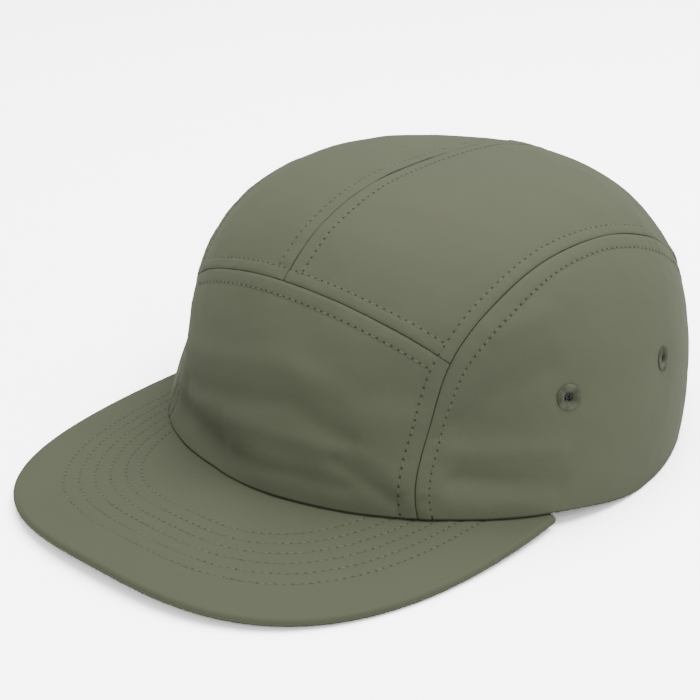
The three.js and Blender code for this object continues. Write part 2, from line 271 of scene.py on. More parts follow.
FOLDS = (
    # the front, from the crown down: two slanting folds with a ridge between them
    Fold(((-0.16, 0.27), (0.04, 0.34), (0.125, 0.305)), 0.004, -0.0008),
    Fold(((-0.15, 0.20), (0.055, 0.27), (0.135, 0.215)), 0.004, 0.0013),
    Fold(((-0.03, 0.19), (0.035, 0.20), (0.125, 0.195)), 0.003, -0.0005),
    # the deep hollow over the peak's far end, which runs out along the hem
    Fold(((-0.205, 0.11), (-0.085, 0.12), (-0.01, 0.11)), 0.006, 0.0016),
    Fold(((-0.15, 0.13), (-0.055, 0.12)), 0.008, 0.0027),
    Fold(((-0.01, 0.115), (0.085, 0.12), (0.145, 0.115)), 0.003, 0.0005),
    # the short crease beside the side seam, just over the hem
    Fold(((0.125, 0.17), (0.17, 0.125), (0.20, 0.09)), 0.0028, 0.0007),
    Fold(((0.135, 0.205), (0.185, 0.165), (0.205, 0.12)), 0.0025, -0.0003),
    # slack under the front seam
    Fold(((0.09, 0.41), (0.18, 0.40)), 0.005, -0.0006),
    Fold(((0.115, 0.305), (0.205, 0.315)), 0.005, 0.0008),
    # the side: a fold that climbs away from the seam, and a roll over the hem
    Fold(((0.26, 0.37), (0.285, 0.42), (0.355, 0.445)), 0.0045, -0.0008),
    Fold(((0.265, 0.265), (0.29, 0.315), (0.365, 0.35)), 0.0045, 0.0013),
    Fold(((0.26, 0.205), (0.385, 0.18)), 0.0042, -0.0013),
    Fold(((0.27, 0.135), (0.39, 0.105)), 0.0042, 0.0018),
    # the pucker across the side seam
    Fold(((0.235, 0.23), (0.265, 0.235)), 0.0012, 0.00025),
)


@dataclass(frozen=True)
class Shaping:
    """All dents and folds of the skin, worked out together."""

    dents: tuple[Dent, ...] = BODY_DENTS
    folds: tuple[Fold, ...] = FOLDS
    scale: tuple[float, float] = (0.276, 0.15)

    @cached_property
    def dent_table(self) -> Array:
        """Place, spread and depth of each dent."""
        return np.array([(dent.around, dent.up, dent.wide, dent.tall, dent.depth) for dent in self.dents]).T

    @cached_property
    def fold_table(self) -> tuple[Array, Array, Array, Array]:
        """Starts and runs of the folds' straight parts, their first parts and their sizes."""
        starts, runs, firsts, sizes = [], [], [], []
        for fold in self.folds:
            corners = np.array(fold.corners) * self.scale
            firsts.append(len(starts))
            starts.extend(corners[:-1])
            runs.extend(np.diff(corners, axis=0))
            sizes.append((fold.width, fold.depth))
        return np.array(starts), np.array(runs), np.array(firsts), np.array(sizes).T

    def at(self, around: Array, up: Array) -> Array:
        """Depth of the dents and folds at signed shares of the turn and of the rise."""
        place, height, wide, tall, depth = self.dent_table
        across = (np.abs(around)[..., None] - place) / wide
        above = (up[..., None] - height) / tall
        total = np.sum(depth * np.exp(-across * across - above * above), axis=-1)
        starts, runs, firsts, (width, deep) = self.fold_table
        x = around[..., None] * self.scale[0] - starts[:, 0]
        z = up[..., None] * self.scale[1] - starts[:, 1]
        share = np.clip((x * runs[:, 0] + z * runs[:, 1]) / np.sum(runs * runs, axis=-1), 0.0, 1.0)
        gap = (x - share * runs[:, 0]) ** 2 + (z - share * runs[:, 1]) ** 2
        nearest = np.minimum.reduceat(gap, firsts, axis=-1)
        return total + np.sum(deep * np.exp(-nearest / width**2), axis=-1)


@dataclass(frozen=True)
class CrownSkin:
    """Outer skin of the crown, as a distance from its centre in each direction."""

    half_width: float = 0.090
    front_reach: float = 0.0875
    back_reach: float = 0.1055
    height: float = CROWN_HEIGHT
    lean: float = 0.19
    front_plan: float = 1.92
    side_plan: float = 1.98
    back_plan: float = 2.0
    top_plan: float = 1.91
    front_rise: float = 3.27
    side_rise: float = 2.96
    back_rise: float = 2.35
    turn_sharpness: float = 1.5
    nudge: float = 1e-3
    shaping: Shaping = Shaping()

    def point(self, directions: Array) -> Array:
        """Points of the skin in directions from the crown's centre."""
        x, y, z = np.moveaxis(unit(directions), -1, 0)
        turn = y / np.maximum(np.hypot(x, y), TINY)
        reach = np.where(y < 0, self.front_reach, self.back_reach)
        end_plan = np.where(y < 0, self.front_plan, self.back_plan)
        sharp = smooth(np.minimum(np.abs(turn) * self.turn_sharpness, 1.0))
        power = between(between(self.side_plan, end_plan, sharp), self.top_plan, z * z)
        wide = (np.abs(x) / self.half_width) ** power
        deep = (np.abs(y) / reach) ** power
        plan = (wide + deep) ** (1 / power)
        rise = (
            self.side_rise
            + (self.front_rise - self.side_rise) * np.maximum(-turn, 0.0) ** 2
            + (self.back_rise - self.side_rise) * np.maximum(turn, 0.0) ** 2
        )
        shell = (plan**rise + (np.abs(z) / self.height) ** rise) ** (-1 / rise)
        around = np.arctan2(x, -y) / HALF_TURN
        up = np.arcsin(np.clip(z, -1.0, 1.0)) / RIGHT_ANGLE
        distance = shell - self.shaping.at(around, up)
        return together(x * distance, (y + self.lean * z) * distance, z * distance)

    def direction(self, points: Array) -> Array:
        """Directions in which the skin passes through points."""
        x, y, z = np.moveaxis(points, -1, 0)
        return unit(together(x, y - self.lean * z, z))

    def normal(self, directions: Array) -> Array:
        """Outward normals of the skin in some directions."""
        units = unit(directions)
        helper = np.where(np.abs(units[..., :1]) < 0.8, [1.0, 0.0, 0.0], [0.0, 1.0, 0.0])
        first = unit(np.cross(units, helper)) * self.nudge
        second = unit(np.cross(units, first)) * self.nudge
        slope_one = self.point(units + first) - self.point(units - first)
        slope_two = self.point(units + second) - self.point(units - second)
        normals = unit(np.cross(slope_one, slope_two))
        inward = np.sum(normals * units, axis=-1, keepdims=True) < 0
        return np.where(inward, -normals, normals)

    def under(self, directions: Array, depth: Array) -> Array:
        """Points at depths under the skin, square to it."""
        return self.point(directions) - self.normal(directions) * np.asarray(depth)[..., None]


@dataclass(frozen=True)
class PeakShape:
    """Outline and height of the peak, and of the crown's hem above it."""

    skin: CrownSkin
    projection: float = 0.0572
    end_back: float = 0.0575
    side_inset: float = 0.0045
    end_turn_in: float = 0.0005
    end_length: float = 0.020
    squareness: float = 2.85
    thickness: float = 0.003
    camber: float = 0.0062
    fall: float = 0.04
    tuck: float = 0.004
    gap: float = 0.00035
    rim_fade: float = 0.043

    @cached_property
    def end_y(self) -> float:
        """How far back the peak's ends reach."""
        return self.end_back - self.skin.front_reach

    @cached_property
    def half_width(self) -> float:
        """Half the width of the peak."""
        return self.skin.half_width - self.side_inset

    @cached_property
    def length(self) -> float:
        """Length of the peak from its ends to its front."""
        return self.end_back + self.projection

    def outline(self, count: int) -> Array:
        """Outer edge in plan, evenly spaced from the wearer's right to the left."""
        angle = HALF_TURN * (1 - np.linspace(0, 1, count * 16 + 1))
        power = 2 / self.squareness
        across = np.sign(np.cos(angle)) * np.abs(np.cos(angle)) ** power
        ahead = np.maximum(np.sin(angle), 0) ** power
        near_end = np.maximum(1 - ahead * self.length / self.end_length, 0)
        width = self.half_width - self.end_turn_in * near_end**2
        trail = together(width * across, self.end_y - self.length * ahead)
        return evenly(trail, count)

    def edges(self, count: int) -> tuple[Array, Array]:
        """Crest where the edge's rounding begins, and the edge's outward directions."""
        outline = self.outline(count)
        tangent = np.gradient(outline, axis=0)
        outward = unit(together(tangent[:, 1], -tangent[:, 0]))
        outward[0], outward[-1] = (-1.0, 0.0), (1.0, 0.0)
        return outline - outward * self.thickness / 2, outward

    def rise(self, x: Array, y: Array) -> Array:
        """Height of the top face over its lowest edge."""
        return self.camber * (1 - (x / self.half_width) ** 2) - self.fall * (self.end_y - y)

    @cached_property
    def lowest_rise(self) -> float:
        """Rise at which the underside touches the floor."""
        crest, _ = self.edges(48)
        return float(np.min(self.rise(crest[:, 0], crest[:, 1])))

    def top(self, x: Array, y: Array) -> Array:
        """Height of the peak's top face."""
        return self.thickness - self.lowest_rise + self.rise(x, y)

    def rim_height(self, points: Array) -> Array:
        """Height of the crown's hem at some points."""
        x, y, _ = np.moveaxis(points, -1, 0)
        over = smooth((self.end_y + self.rim_fade - y) / self.rim_fade)
        return (self.top(x, y) + self.gap) * over

    def above_rim(self, points: Array) -> Array:
        """Height of points over the hem."""
        return points[..., 2] - self.rim_height(points)


@dataclass(frozen=True)
class Path:
    """A line on the crown, with the length along it and its direction at each point."""

    BLOCK: ClassVar[int] = 4000
    SKIP: ClassVar[int] = 16

    points: Array
    lengths: Array
    tangents: Array

    @classmethod
    def through(cls, trail: Array, step: float = 0.0003) -> "Path":
        """Builds a path with even steps through a trail of points."""
        total = float(np.sum(size_of(np.diff(trail, axis=0))))
        count = max(int(total / step), 8)
        points = evenly(trail, count)
        return cls(points, np.linspace(0, total, count + 1), unit(np.gradient(points, axis=0)))

    @property
    def total(self) -> float:
        """Length of the whole path."""
        return float(self.lengths[-1])

    @classmethod
    def joined(cls, first: "Path", second: "Path", count: int) -> "Path":
        """The first points of one path, and those of another one run backwards."""
        values = ([path.points, path.lengths, path.tangents] for path in (first, second))
        return cls(*[np.concatenate([one[:count], other[:count][::-1]]) for one, other in zip(*values)])

    def near(self, points: Array) -> tuple[Array, Array]:
        """Where points lie against the path.

        Args:
            points: Points to place, one in each row.

        Returns:
            The length along the path and the distance from it, for each point.
        """
        along = np.empty(len(points))
        away = np.empty(len(points))
        coarse = self.points[:: self.SKIP]
        reach = np.arange(-24, 25)
        limit = self.lengths[1] - self.lengths[0]
        for start in range(0, len(points), self.BLOCK):
            part = slice(start, start + self.BLOCK)
            block = points[part]
            gaps = size_of(block[:, None, :] - coarse[None, :, :])
            guess = np.argmin(gaps, axis=1) * self.SKIP
            window = np.clip(guess[:, None] + reach[None, :], 0, len(self.points) - 1)
            close = size_of(block[:, None, :] - self.points[window])
            best = window[np.arange(len(block)), np.argmin(close, axis=1)]
            offset = block - self.points[best]
            slide = np.sum(offset * self.tangents[best], axis=-1)
            slide = np.clip(slide, -limit, limit)
            slide = np.where((best == 0) & (slide < 0), 0.0, slide)
            slide = np.where((best == len(self.points) - 1) & (slide > 0), 0.0, slide)
            left = offset - self.tangents[best] * slide[:, None]
            along[part] = self.lengths[best] + slide
            away[part] = size_of(left)
        return along, away


@dataclass(frozen=True)
class SeamPlan:
    """Where the seams, the hem and the back opening run over the crown."""

    skin: CrownSkin
    peak: PeakShape
    turns: tuple[float, ...] = (0.0, 0.25, 0.5, 0.75, 1.0)
    reaches: tuple[float, ...] = (0.665, 0.621, 0.722, 0.687, 0.536)
    front_seam_below_top: float = 0.0236
    front_seam_fall: float = 0.0165
    side_shifts: tuple[tuple[float, float, float], ...] = ((0.985, 0.22, 0.0009), (2.25, 0.42, 0.0009))
    centre_rolls: tuple[float, ...] = (0.758, 1.12, 1.28, 1.9, 2.5)
    centre_shifts: tuple[float, ...] = (-0.0004, -0.0005, -0.0011, -0.0011, 0.0)
    opening_half_width: float = 0.032
    opening_height: float = 0.042

    def reach(self, roll: Array) -> Array:
        """Distance of the side seam from the middle, at rolls over the crown."""
        turn = roll / HALF_TURN
        total = sum(size * bell(roll - place, width) for place, width, size in self.side_shifts)
        for row, place in enumerate(self.turns):
            weight = 1.0
            for other, along in enumerate(self.turns):
                if other != row:
                    weight = weight * (turn - along) / (place - along)
            total = total + weight * self.reaches[row] * self.skin.half_width
        return total

    @cached_property
    def swing_table(self) -> tuple[Array, Array]:
        """Swing of the side seam at many rolls."""
        rolls = np.linspace(-0.2, HALF_TURN * 1.06, 2400)
        wanted = self.reach(rolls)
        return rolls, solve(lambda swing: self.skin.point(rolled(rolls, swing))[..., 0] - wanted, 0.0, 1.4)

    def side_swing(self, roll: Array) -> Array:
        """Swing of the side seam at rolls over the crown."""
        rolls, swings = self.swing_table
        return np.interp(roll, rolls, swings)

    def seam_point(self, roll: Array) -> Array:
        """Points of the left side seam."""
        return self.skin.point(rolled(roll, self.side_swing(roll)))

    def seam_above_rim(self, roll: Array) -> Array:
        """Height of the side seam over the hem."""
        return self.peak.above_rim(self.seam_point(roll))

    def centre_swing(self, roll: Array) -> Array:
        """Swing of the centre seam, which wanders a little off the middle."""
        return np.interp(roll, self.centre_rolls, self.centre_shifts) / self.skin.height

    @cached_property
    def centre_roll(self) -> float:
        """Roll of the front seam at the middle."""
        height = self.skin.height - self.front_seam_below_top

        def height_gap(roll: Array) -> Array:
            """Height of the middle of the crown over the seam's height."""
            return self.skin.point(rolled(roll, 0.0))[..., 2] - height

        return zero_of(height_gap, 0.0, RIGHT_ANGLE)

    @cached_property
    def corner_roll(self) -> float:
        """Roll at which the front seam meets the side seam."""
        height = self.skin.height - self.front_seam_below_top - self.front_seam_fall
        return zero_of(lambda roll: self.seam_point(roll)[..., 2] - height, 0.0, RIGHT_ANGLE)

    @cached_property
    def foot_roll(self) -> float:
        """Roll at which the side seam meets the hem over the peak."""
        return zero_of(self.seam_above_rim, -0.1, self.corner_roll)

    @cached_property
    def back_roll(self) -> float:
        """Roll at which the side seam meets the hem at the back."""
        return zero_of(self.seam_above_rim, HALF_TURN * 0.7, HALF_TURN * 1.05)

    def front_seam_roll(self, share: Array) -> Array:
        """Roll of the front seam at shares from the middle to the corner."""
        return between(self.centre_roll, self.corner_roll, np.asarray(share) ** 2)

    def at_height(self, around: Array, height: Callable[[Array], Array]) -> Array:
        """Directions at which a height over the floor or the hem is 0."""
        up = solve(lambda angle: height(self.skin.point(heading(around, angle))), -0.15, RIGHT_ANGLE * 0.9)
        return heading(around, up)

    def rim_direction(self, around: Array) -> Array:
        """Directions of the hem at turns from the front."""
        return self.at_height(around, self.peak.above_rim)

    def back_turn(self, distance: float) -> float:
        """Turn at which the back hem reaches a distance from the middle."""

        def width_gap(around: Array) -> Array:
            """Distance of the hem from the middle beyond the wanted one."""
            return self.skin.point(self.rim_direction(around))[..., 0] - distance

        return zero_of(width_gap, RIGHT_ANGLE * 1.2, HALF_TURN)

    @cached_property
    def side_paths(self) -> dict[Side, Path]:
        """The seams between each side panel and its neighbours."""
        points = self.seam_point(np.linspace(self.foot_roll, self.back_roll, 900))
        return {side: Path.through(side.mirrored(points)) for side in Side}

    def path(self, layer: Layer, side: Side) -> Path:
        """Line of one of the seams or hems, on one side."""
        if layer is Layer.SIDE_SEAM:
            return self.side_paths[side]
        return {
            Layer.FRONT_SEAM: self.front_path,
            Layer.CENTRE_SEAM: self.centre_path,
            Layer.HEM: self.hem_path,
            Layer.ARCH: self.arch_path,
        }[layer]

    @cached_property
    def front_path(self) -> Path:
        """The seam between the front panel and the top panels."""
        share = np.linspace(-1, 1, 601)
        roll = self.front_seam_roll(np.abs(share))
        return Path.through(self.skin.point(rolled(roll, share * self.side_swing(roll))))

    @cached_property
    def centre_path(self) -> Path:
        """The seam between the two top panels."""
        roll = np.linspace(self.centre_roll, self.back_roll, 900)
        return Path.through(self.skin.point(rolled(roll, self.centre_swing(roll))))

    @cached_property
    def hem_path(self) -> Path:
        """The crown's lower edge, from the back over the front to the back."""
        around = np.linspace(-HALF_TURN, HALF_TURN, 1601)
        return Path.through(self.skin.point(self.rim_direction(around)))

    def arch(self, grown: float = 0.0, count: int = 56) -> Array:
        """Outline of the back opening, seen from behind, grown by a length."""
        angle = np.linspace(0, HALF_TURN, count + 1)
        x = (self.opening_half_width + grown) * np.cos(angle)
        z = (self.opening_height + grown) * np.sin(angle)
        arch = together(x, 0.0, z)
        foot = self.opening_half_width + grown
        return np.concatenate([arch, [[-foot, 0, -0.02], [foot, 0, -0.02]]])

    def on_back(self, x: Array, z: Array) -> Array:
        """Points of the back of the skin at distances from the middle and heights."""
        around, up = HALF_TURN, 0.0

        def height_gap(angle: Array) -> Array:
            """Height of the skin over the wanted one."""
            return self.skin.point(heading(around, angle))[..., 2] - z

        def width_gap(turn: Array) -> Array:
            """Distance from the middle beyond the wanted one."""
            return self.skin.point(heading(turn, up))[..., 0] - np.abs(x)

        for _ in range(8):
            up = solve(height_gap, -0.2, 1.3, 26)
            around = solve(width_gap, RIGHT_ANGLE * 1.05, HALF_TURN, 26)
        point = self.skin.point(heading(around, up))
        point[..., 0] *= np.where(x < 0, -1.0, 1.0)
        return point

    @cached_property
    def arch_path(self) -> Path:
        """The edge of the back opening on the skin."""
        outline = self.arch(count=120)[:-2]
        return Path.through(self.on_back(outline[:, 0], outline[:, 2]))


@dataclass(frozen=True)
class Ripple:
    """Uneven waves in one, two or three directions, the same on each run."""

    seed: int
    shortest: float
    longest: float
    stretch: tuple[float, float, float] = (1.0, 1.0, 1.0)
    count: int = 16

    def at(self, places: Array) -> Array:
        """Height of the waves at places, mostly between -1 and 1."""
        rng = np.random.default_rng(self.seed)
        total = np.zeros(places.shape[0])
        for _ in range(self.count):
            towards = unit(rng.normal(size=3))
            span = math.exp(rng.uniform(math.log(self.shortest), math.log(self.longest)))
            phase = rng.uniform(0, 2 * HALF_TURN)
            scaled = places / np.array(self.stretch)
            total += np.sin(scaled @ towards * 2 * HALF_TURN / span + phase)
        return total / math.sqrt(self.count)


@dataclass(frozen=True)
class RowTable:
    """Distance of a row of stitches from its seam, at lengths along the seam."""

    along: tuple[float, ...]
    offsets: tuple[float, ...]

    def at(self, along: Array) -> Array:
        """Distance of the row at some lengths."""
        return np.interp(along, self.along, self.offsets)


INNER_ROW = RowTable(
    (0.033, 0.045, 0.054, 0.084, 0.1, 0.125, 0.14, 0.165, 0.2),
    (0.0052, 0.0049, 0.0041, 0.004, 0.0043, 0.004, 0.0038, 0.0038, 0.0043),
)
OUTER_ROW = RowTable(
    (0.033, 0.05, 0.062, 0.075, 0.088, 0.1, 0.12, 0.135, 0.16, 0.2),
    (0.0043, 0.0051, 0.0057, 0.0059, 0.0055, 0.005, 0.0048, 0.0054, 0.0058, 0.005),
)
UPPER_ROW = RowTable((0.0,), (0.0042,))
LOWER_ROW = RowTable((0.0,), (0.0048,))
CENTRE_ROW = RowTable((0.0, 0.05, 0.085, 0.13), (0.0051, 0.005, 0.0041, 0.0046))
ARCH_ROW = RowTable((0.0,), (0.0045,))


@dataclass(frozen=True)
class SeamRelief:
    """How the cloth stands about a sewn seam and its two rows of stitches."""

    round_off: float = 0.00035
    row_offset: float = 0.0048
    pad: float = 0.00026
    pad_start: float = 0.0014
    pad_end: float = 0.0013
    pad_inset: float = 0.0004
    row_sink: float = 0.0002
    row_spread: float = 0.0007
    pucker: float = 0.00012
    pucker_reach: float = 0.0032

    def rounding(self, away: Array, radius: float | None = None) -> Array:
        """Drop of the cloth where it turns down into a seam or over a hem."""
        return -turned_down(away, self.round_off if radius is None else radius)

    def padding(self, away: Array) -> Array:
        """Rise of the cloth over the folded edges beside a seam."""
        begins = smooth(away / self.pad_start)
        ends = 1 - smooth((away - self.row_offset + self.pad_inset) / self.pad_end)
        return self.pad * begins * ends

    def row(self, away: Array) -> Array:
        """Drop of the cloth along a row of stitches."""
        return -self.row_sink * bell(away - self.row_offset, self.row_spread)

    def puckers(self, along: Array, away: Array, seed: int) -> Array:
        """Small gathers of the cloth along a row of stitches."""
        places = together(along, away, 0.0)
        fine = Ripple(seed, shortest=0.0024, longest=0.0062, stretch=(1.0, 2.6, 1.0)).at(places)
        wide = Ripple(seed + 1, shortest=0.007, longest=0.021, stretch=(1.0, 2.2, 1.0)).at(places)
        reach = bell(away - self.row_offset * 0.75, self.pucker_reach)
        return self.pucker * (0.55 * fine + 0.8 * wide) * reach


class Meshes:
    """Small helpers that turn worked shapes into finished objects."""

    middle = Vector((0.0, 0.0, 0.0))

    @classmethod
    def coordinates(cls, bm: Draft) -> Array:
        """Places of all points of a mesh in the making."""
        return np.array([vert.co[:] for vert in bm.verts])

    @classmethod
    def move(cls, bm: Draft, points: Array) -> None:
        """Puts all points of a mesh in the making at new places."""
        for vert, point in zip(bm.verts, points):
            vert.co = point

    @classmethod
    def grid(cls, columns: int, rows: int, double: bool = False) -> tuple[Draft, Array, Array]:
        """A flat grid, or two of them joined at their edges.

        Args:
            columns: Number of steps along the grid.
            rows: Number of steps across it.
            double: Whether a second grid closes the first one to a wall.

        Returns:
            The mesh, and the column and the row of each point.
        """
        bm = bmesh.new()
        bmesh.ops.create_grid(bm, x_segments=columns, y_segments=rows, size=1.0)
        if double:
            bmesh.ops.extrude_face_region(bm, geom=bm.faces[:], use_keep_orig=True)
            bm.verts.ensure_lookup_table()
        flat = (cls.coordinates(bm) + 1) / 2
        return bm, *(np.rint(flat[:, axis] * size).astype(int) for axis, size in enumerate((columns, rows)))

    @classmethod
    def wall(cls, count: int, rows: Array) -> tuple[Draft, Array, Array, Array]:
        """A flat wall of two grids joined at their edges.

        Args:
            count: Number of steps along the wall.
            rows: Shares of the wall's height at its rows.

        Returns:
            The mesh, and the share along, the share up and the inner face of each point.
        """
        bm, column, row = cls.grid(count, len(rows) - 1, double=True)
        inner = np.arange(len(bm.verts)) >= (count + 1) * len(rows)
        return bm, column / count, rows[row], inner

    @classmethod
    def repeat(cls, shape: Draft, count: int) -> Draft:
        """A mesh of many copies of one shape, copy after copy. The shape is freed."""
        pattern = bpy.data.meshes.new("pattern")
        shape.to_mesh(pattern)
        shape.free()
        bm = bmesh.new()
        for _ in range(count):
            bm.from_mesh(pattern)
        bpy.data.meshes.remove(pattern)
        return bm

    @classmethod
    def sharp_edges(cls, bm: Draft, angle: float) -> list[bmesh.types.BMEdge]:
        """Edges whose two faces turn by more than an angle."""
        return [edge for edge in bm.edges if len(edge.link_faces) == 2 and edge.calc_face_angle() > angle]

    @classmethod
    def face_out(cls, bm: Draft) -> None:
        """Turns the faces of a closed shape outwards."""
        bmesh.ops.recalc_face_normals(bm, faces=bm.faces[:])

    @classmethod
    def finish(
        cls,
        name: str,
        bm: Draft,
        materials: Sequence[Material],
        maps: dict[Layer, Array] | None = None,
        flat_above: float | None = None,
    ) -> Piece:
        """Makes the finished object of a mesh, at the frame's origin.

        Args:
            name: Name of the object.
            bm: The shape about the crown's centre, which is freed.
            materials: Materials in the order of the faces' numbers.
            maps: Values for each point, kept as maps of the faces' corners.
            flat_above: Angle between faces over which an edge stays sharp.

        Returns:
            The object, linked to the scene.
        """
        bmesh.ops.translate(bm, verts=bm.verts[:], vec=cls.middle)
        for part in bm.faces:
            part.smooth = True
        if flat_above is not None:
            for edge in cls.sharp_edges(bm, flat_above):
                edge.smooth = False
        mesh = bpy.data.meshes.new(name)
        bm.to_mesh(mesh)
        bm.free()
        for material in materials:
            mesh.materials.append(material)
        if maps:
            corners = np.empty(len(mesh.loops), dtype=np.int32)
            mesh.loops.foreach_get("vertex_index", corners)
            for layer, values in maps.items():
                made = mesh.uv_layers.new(name=layer.value)
                made.data.foreach_set("uv", values[corners].astype(np.float32).ravel())
        piece = bpy.data.objects.new(name, mesh)
        bpy.context.scene.collection.objects.link(piece)
        return piece


def fitted(piece: Piece, node: str | None = None) -> Piece:
    """Lets a finished piece ride with the cap, in place of its node if it has one."""
    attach(piece, "root")
    if node is not None:
        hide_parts(node)
    return piece


@dataclass(frozen=True)
class Cut:
    """A convex outline that is cut through a sheet, with a line just outside it."""

    CLOSE: ClassVar[float] = 1e-5
    SNAP: ClassVar[float] = 2e-6

    outline: Array
    outer: Array
    axis: tuple[float, float, float]

    def apply(self, bm: Draft) -> None:
        """Cuts the outline's lines into the sheet and takes out what is inside."""
        self._score(bm, self.outer)
        self._score(bm, self.outline)
        sides = self._sides(self.outline)
        inside = [
            face
            for face in self._facing(bm, self.outline)
            if np.all(np.array(face.calc_center_median()) @ sides[:, :3].T < sides[:, 3])
        ]
        bmesh.ops.delete(bm, geom=inside, context="FACES")

    def _sides(self, corners: Array) -> Array:
        """Outward direction of each side of the outline, and its distance along it."""
        ahead = corners - np.roll(corners, 1, axis=0)
        outward = unit(np.cross(ahead, self.axis))
        outward *= np.sign(np.sum(outward * (corners - corners.mean(axis=0)), axis=-1, keepdims=True))
        return np.concatenate([outward, np.sum(outward * corners, axis=-1, keepdims=True)], axis=-1)

    def _facing(self, bm: Draft, corners: Array) -> list[Face]:
        """Faces near the outline that face the way it is cut."""
        axis, centre = Vector(self.axis), Vector(corners.mean(axis=0))
        radius = float(np.max(size_of(corners - corners.mean(axis=0)))) + 0.003
        near = []
        for part in bm.faces:
            gap = part.calc_center_median() - centre
            if part.normal.dot(axis) > 0 and (gap - axis * gap.dot(axis)).length < radius:
                near.append(part)
        return near

    def _score(self, bm: Draft, corners: Array) -> None:
        """Cuts one outline into the sheet.

        Args:
            bm: The sheet.
            corners: Corners of the convex outline.
        """
        sides = self._sides(corners)
        crossed = []
        for part in self._facing(bm, corners):
            beyond = np.array([vert.co[:] for vert in part.verts]) @ sides[:, :3].T - sides[:, 3]
            if np.max(beyond) > -self.CLOSE and np.all(np.min(beyond, axis=0) < self.CLOSE):
                crossed.append(part)
        for side in sides:
            outward = Vector(side[:3])
            edges = {edge for face in crossed for edge in face.edges}
            verts = {vert for face in crossed for vert in face.verts}
            made = bmesh.ops.bisect_plane(
                bm,
                geom=[*crossed, *edges, *verts],
                dist=self.SNAP,
                plane_co=outward * side[3],
                plane_no=outward,
            )
            crossed = [
                part
                for part in made["geom"]
                if isinstance(part, Face)
                and part.calc_center_median().dot(outward) < side[3]
            ]


@dataclass
class Surface:
    """The crown's cloth: the skin with its seams, rows, hems and gathers."""

    skin: CrownSkin
    seams: SeamPlan
    relief: SeamRelief = SeamRelief()
    thickness: float = 0.0012
    hem_round: float = 0.0006
    unevenness: float = 0.00016
    eyelets: tuple["EyeletPlace", ...] = ()

    def maps(self, points: Array, panel: "CrownPanel") -> dict[Layer, Array]:
        """Where points of a panel lie against its seams.

        Args:
            points: Points of the plain skin.
            panel: The panel that they are on.

        Returns:
            The length along and the distance from each kind of seam.
        """
        directions = self.skin.direction(points)
        row = self.relief.row_offset
        found = {}
        for layer in panel.layers:
            along, distance = panel.path(layer).near(points)
            table = panel.rows.get(layer)
            found[layer] = (along, distance if table is None else distance * row / table.at(along))
        away = {layer: values[1] for layer, values in found.items()}
        side_away = away[Layer.SIDE_SEAM]
        past = {
            Layer.FRONT_SEAM: (side_away < row - 0.0002) & (away.get(Layer.FRONT_SEAM, 0) > 0.002),
            Layer.CENTRE_SEAM: (away.get(Layer.FRONT_SEAM, FAR) < row - 0.0002)
            & (away.get(Layer.CENTRE_SEAM, 0) > 0.002),
        }
        maps = {Layer.CLOTH: panel.cloth_place(directions)}
        for layer, (along, distance) in found.items():
            held = np.where(past.get(layer, np.zeros_like(distance, bool)), FAR, distance)
            maps[layer] = together(along, held)
        return maps

    def lift(self, points: Array, maps: dict[Layer, Array], seed: int) -> Array:
        """Height of the cloth over the plain skin.

        Args:
            points: Points of the plain skin.
            maps: Where the points lie against the seams.
            seed: Number that sets the uneven waves.

        Returns:
            The height at each point.
        """
        relief = self.relief
        total = self.unevenness * Ripple(seed, shortest=0.016, longest=0.06).at(points)
        total = total + 0.25 * self.unevenness * Ripple(seed + 7, shortest=0.006, longest=0.014).at(points)
        pads, rows, drops = [], [], []
        for number, layer in enumerate((Layer.SIDE_SEAM, Layer.FRONT_SEAM, Layer.CENTRE_SEAM, Layer.ARCH)):
            if layer not in maps:
                continue
            along, away = maps[layer].T
            pads.append(relief.padding(away))
            rows.append(relief.row(away))
            drops.append(relief.rounding(away, self.hem_round if layer is Layer.ARCH else None))
            total = total + relief.puckers(along, away, seed + 20 + number)
        drops.append(relief.rounding(maps[Layer.HEM][:, 1], self.hem_round))
        for eyelet in self.eyelets:
            total = total + eyelet.dimple(points)
        return total + np.max(pads, axis=0) + np.min(rows, axis=0) + np.min(drops, axis=0)

    def raised(self, points: Array, panel: "CrownPanel") -> Array:
        """Points of the cloth's outer face over points of the plain skin."""
        normals = self.skin.normal(self.skin.direction(points))
        maps = self.maps(points, panel)
        return points + normals * self.lift(points, maps, panel.seed)[:, None]


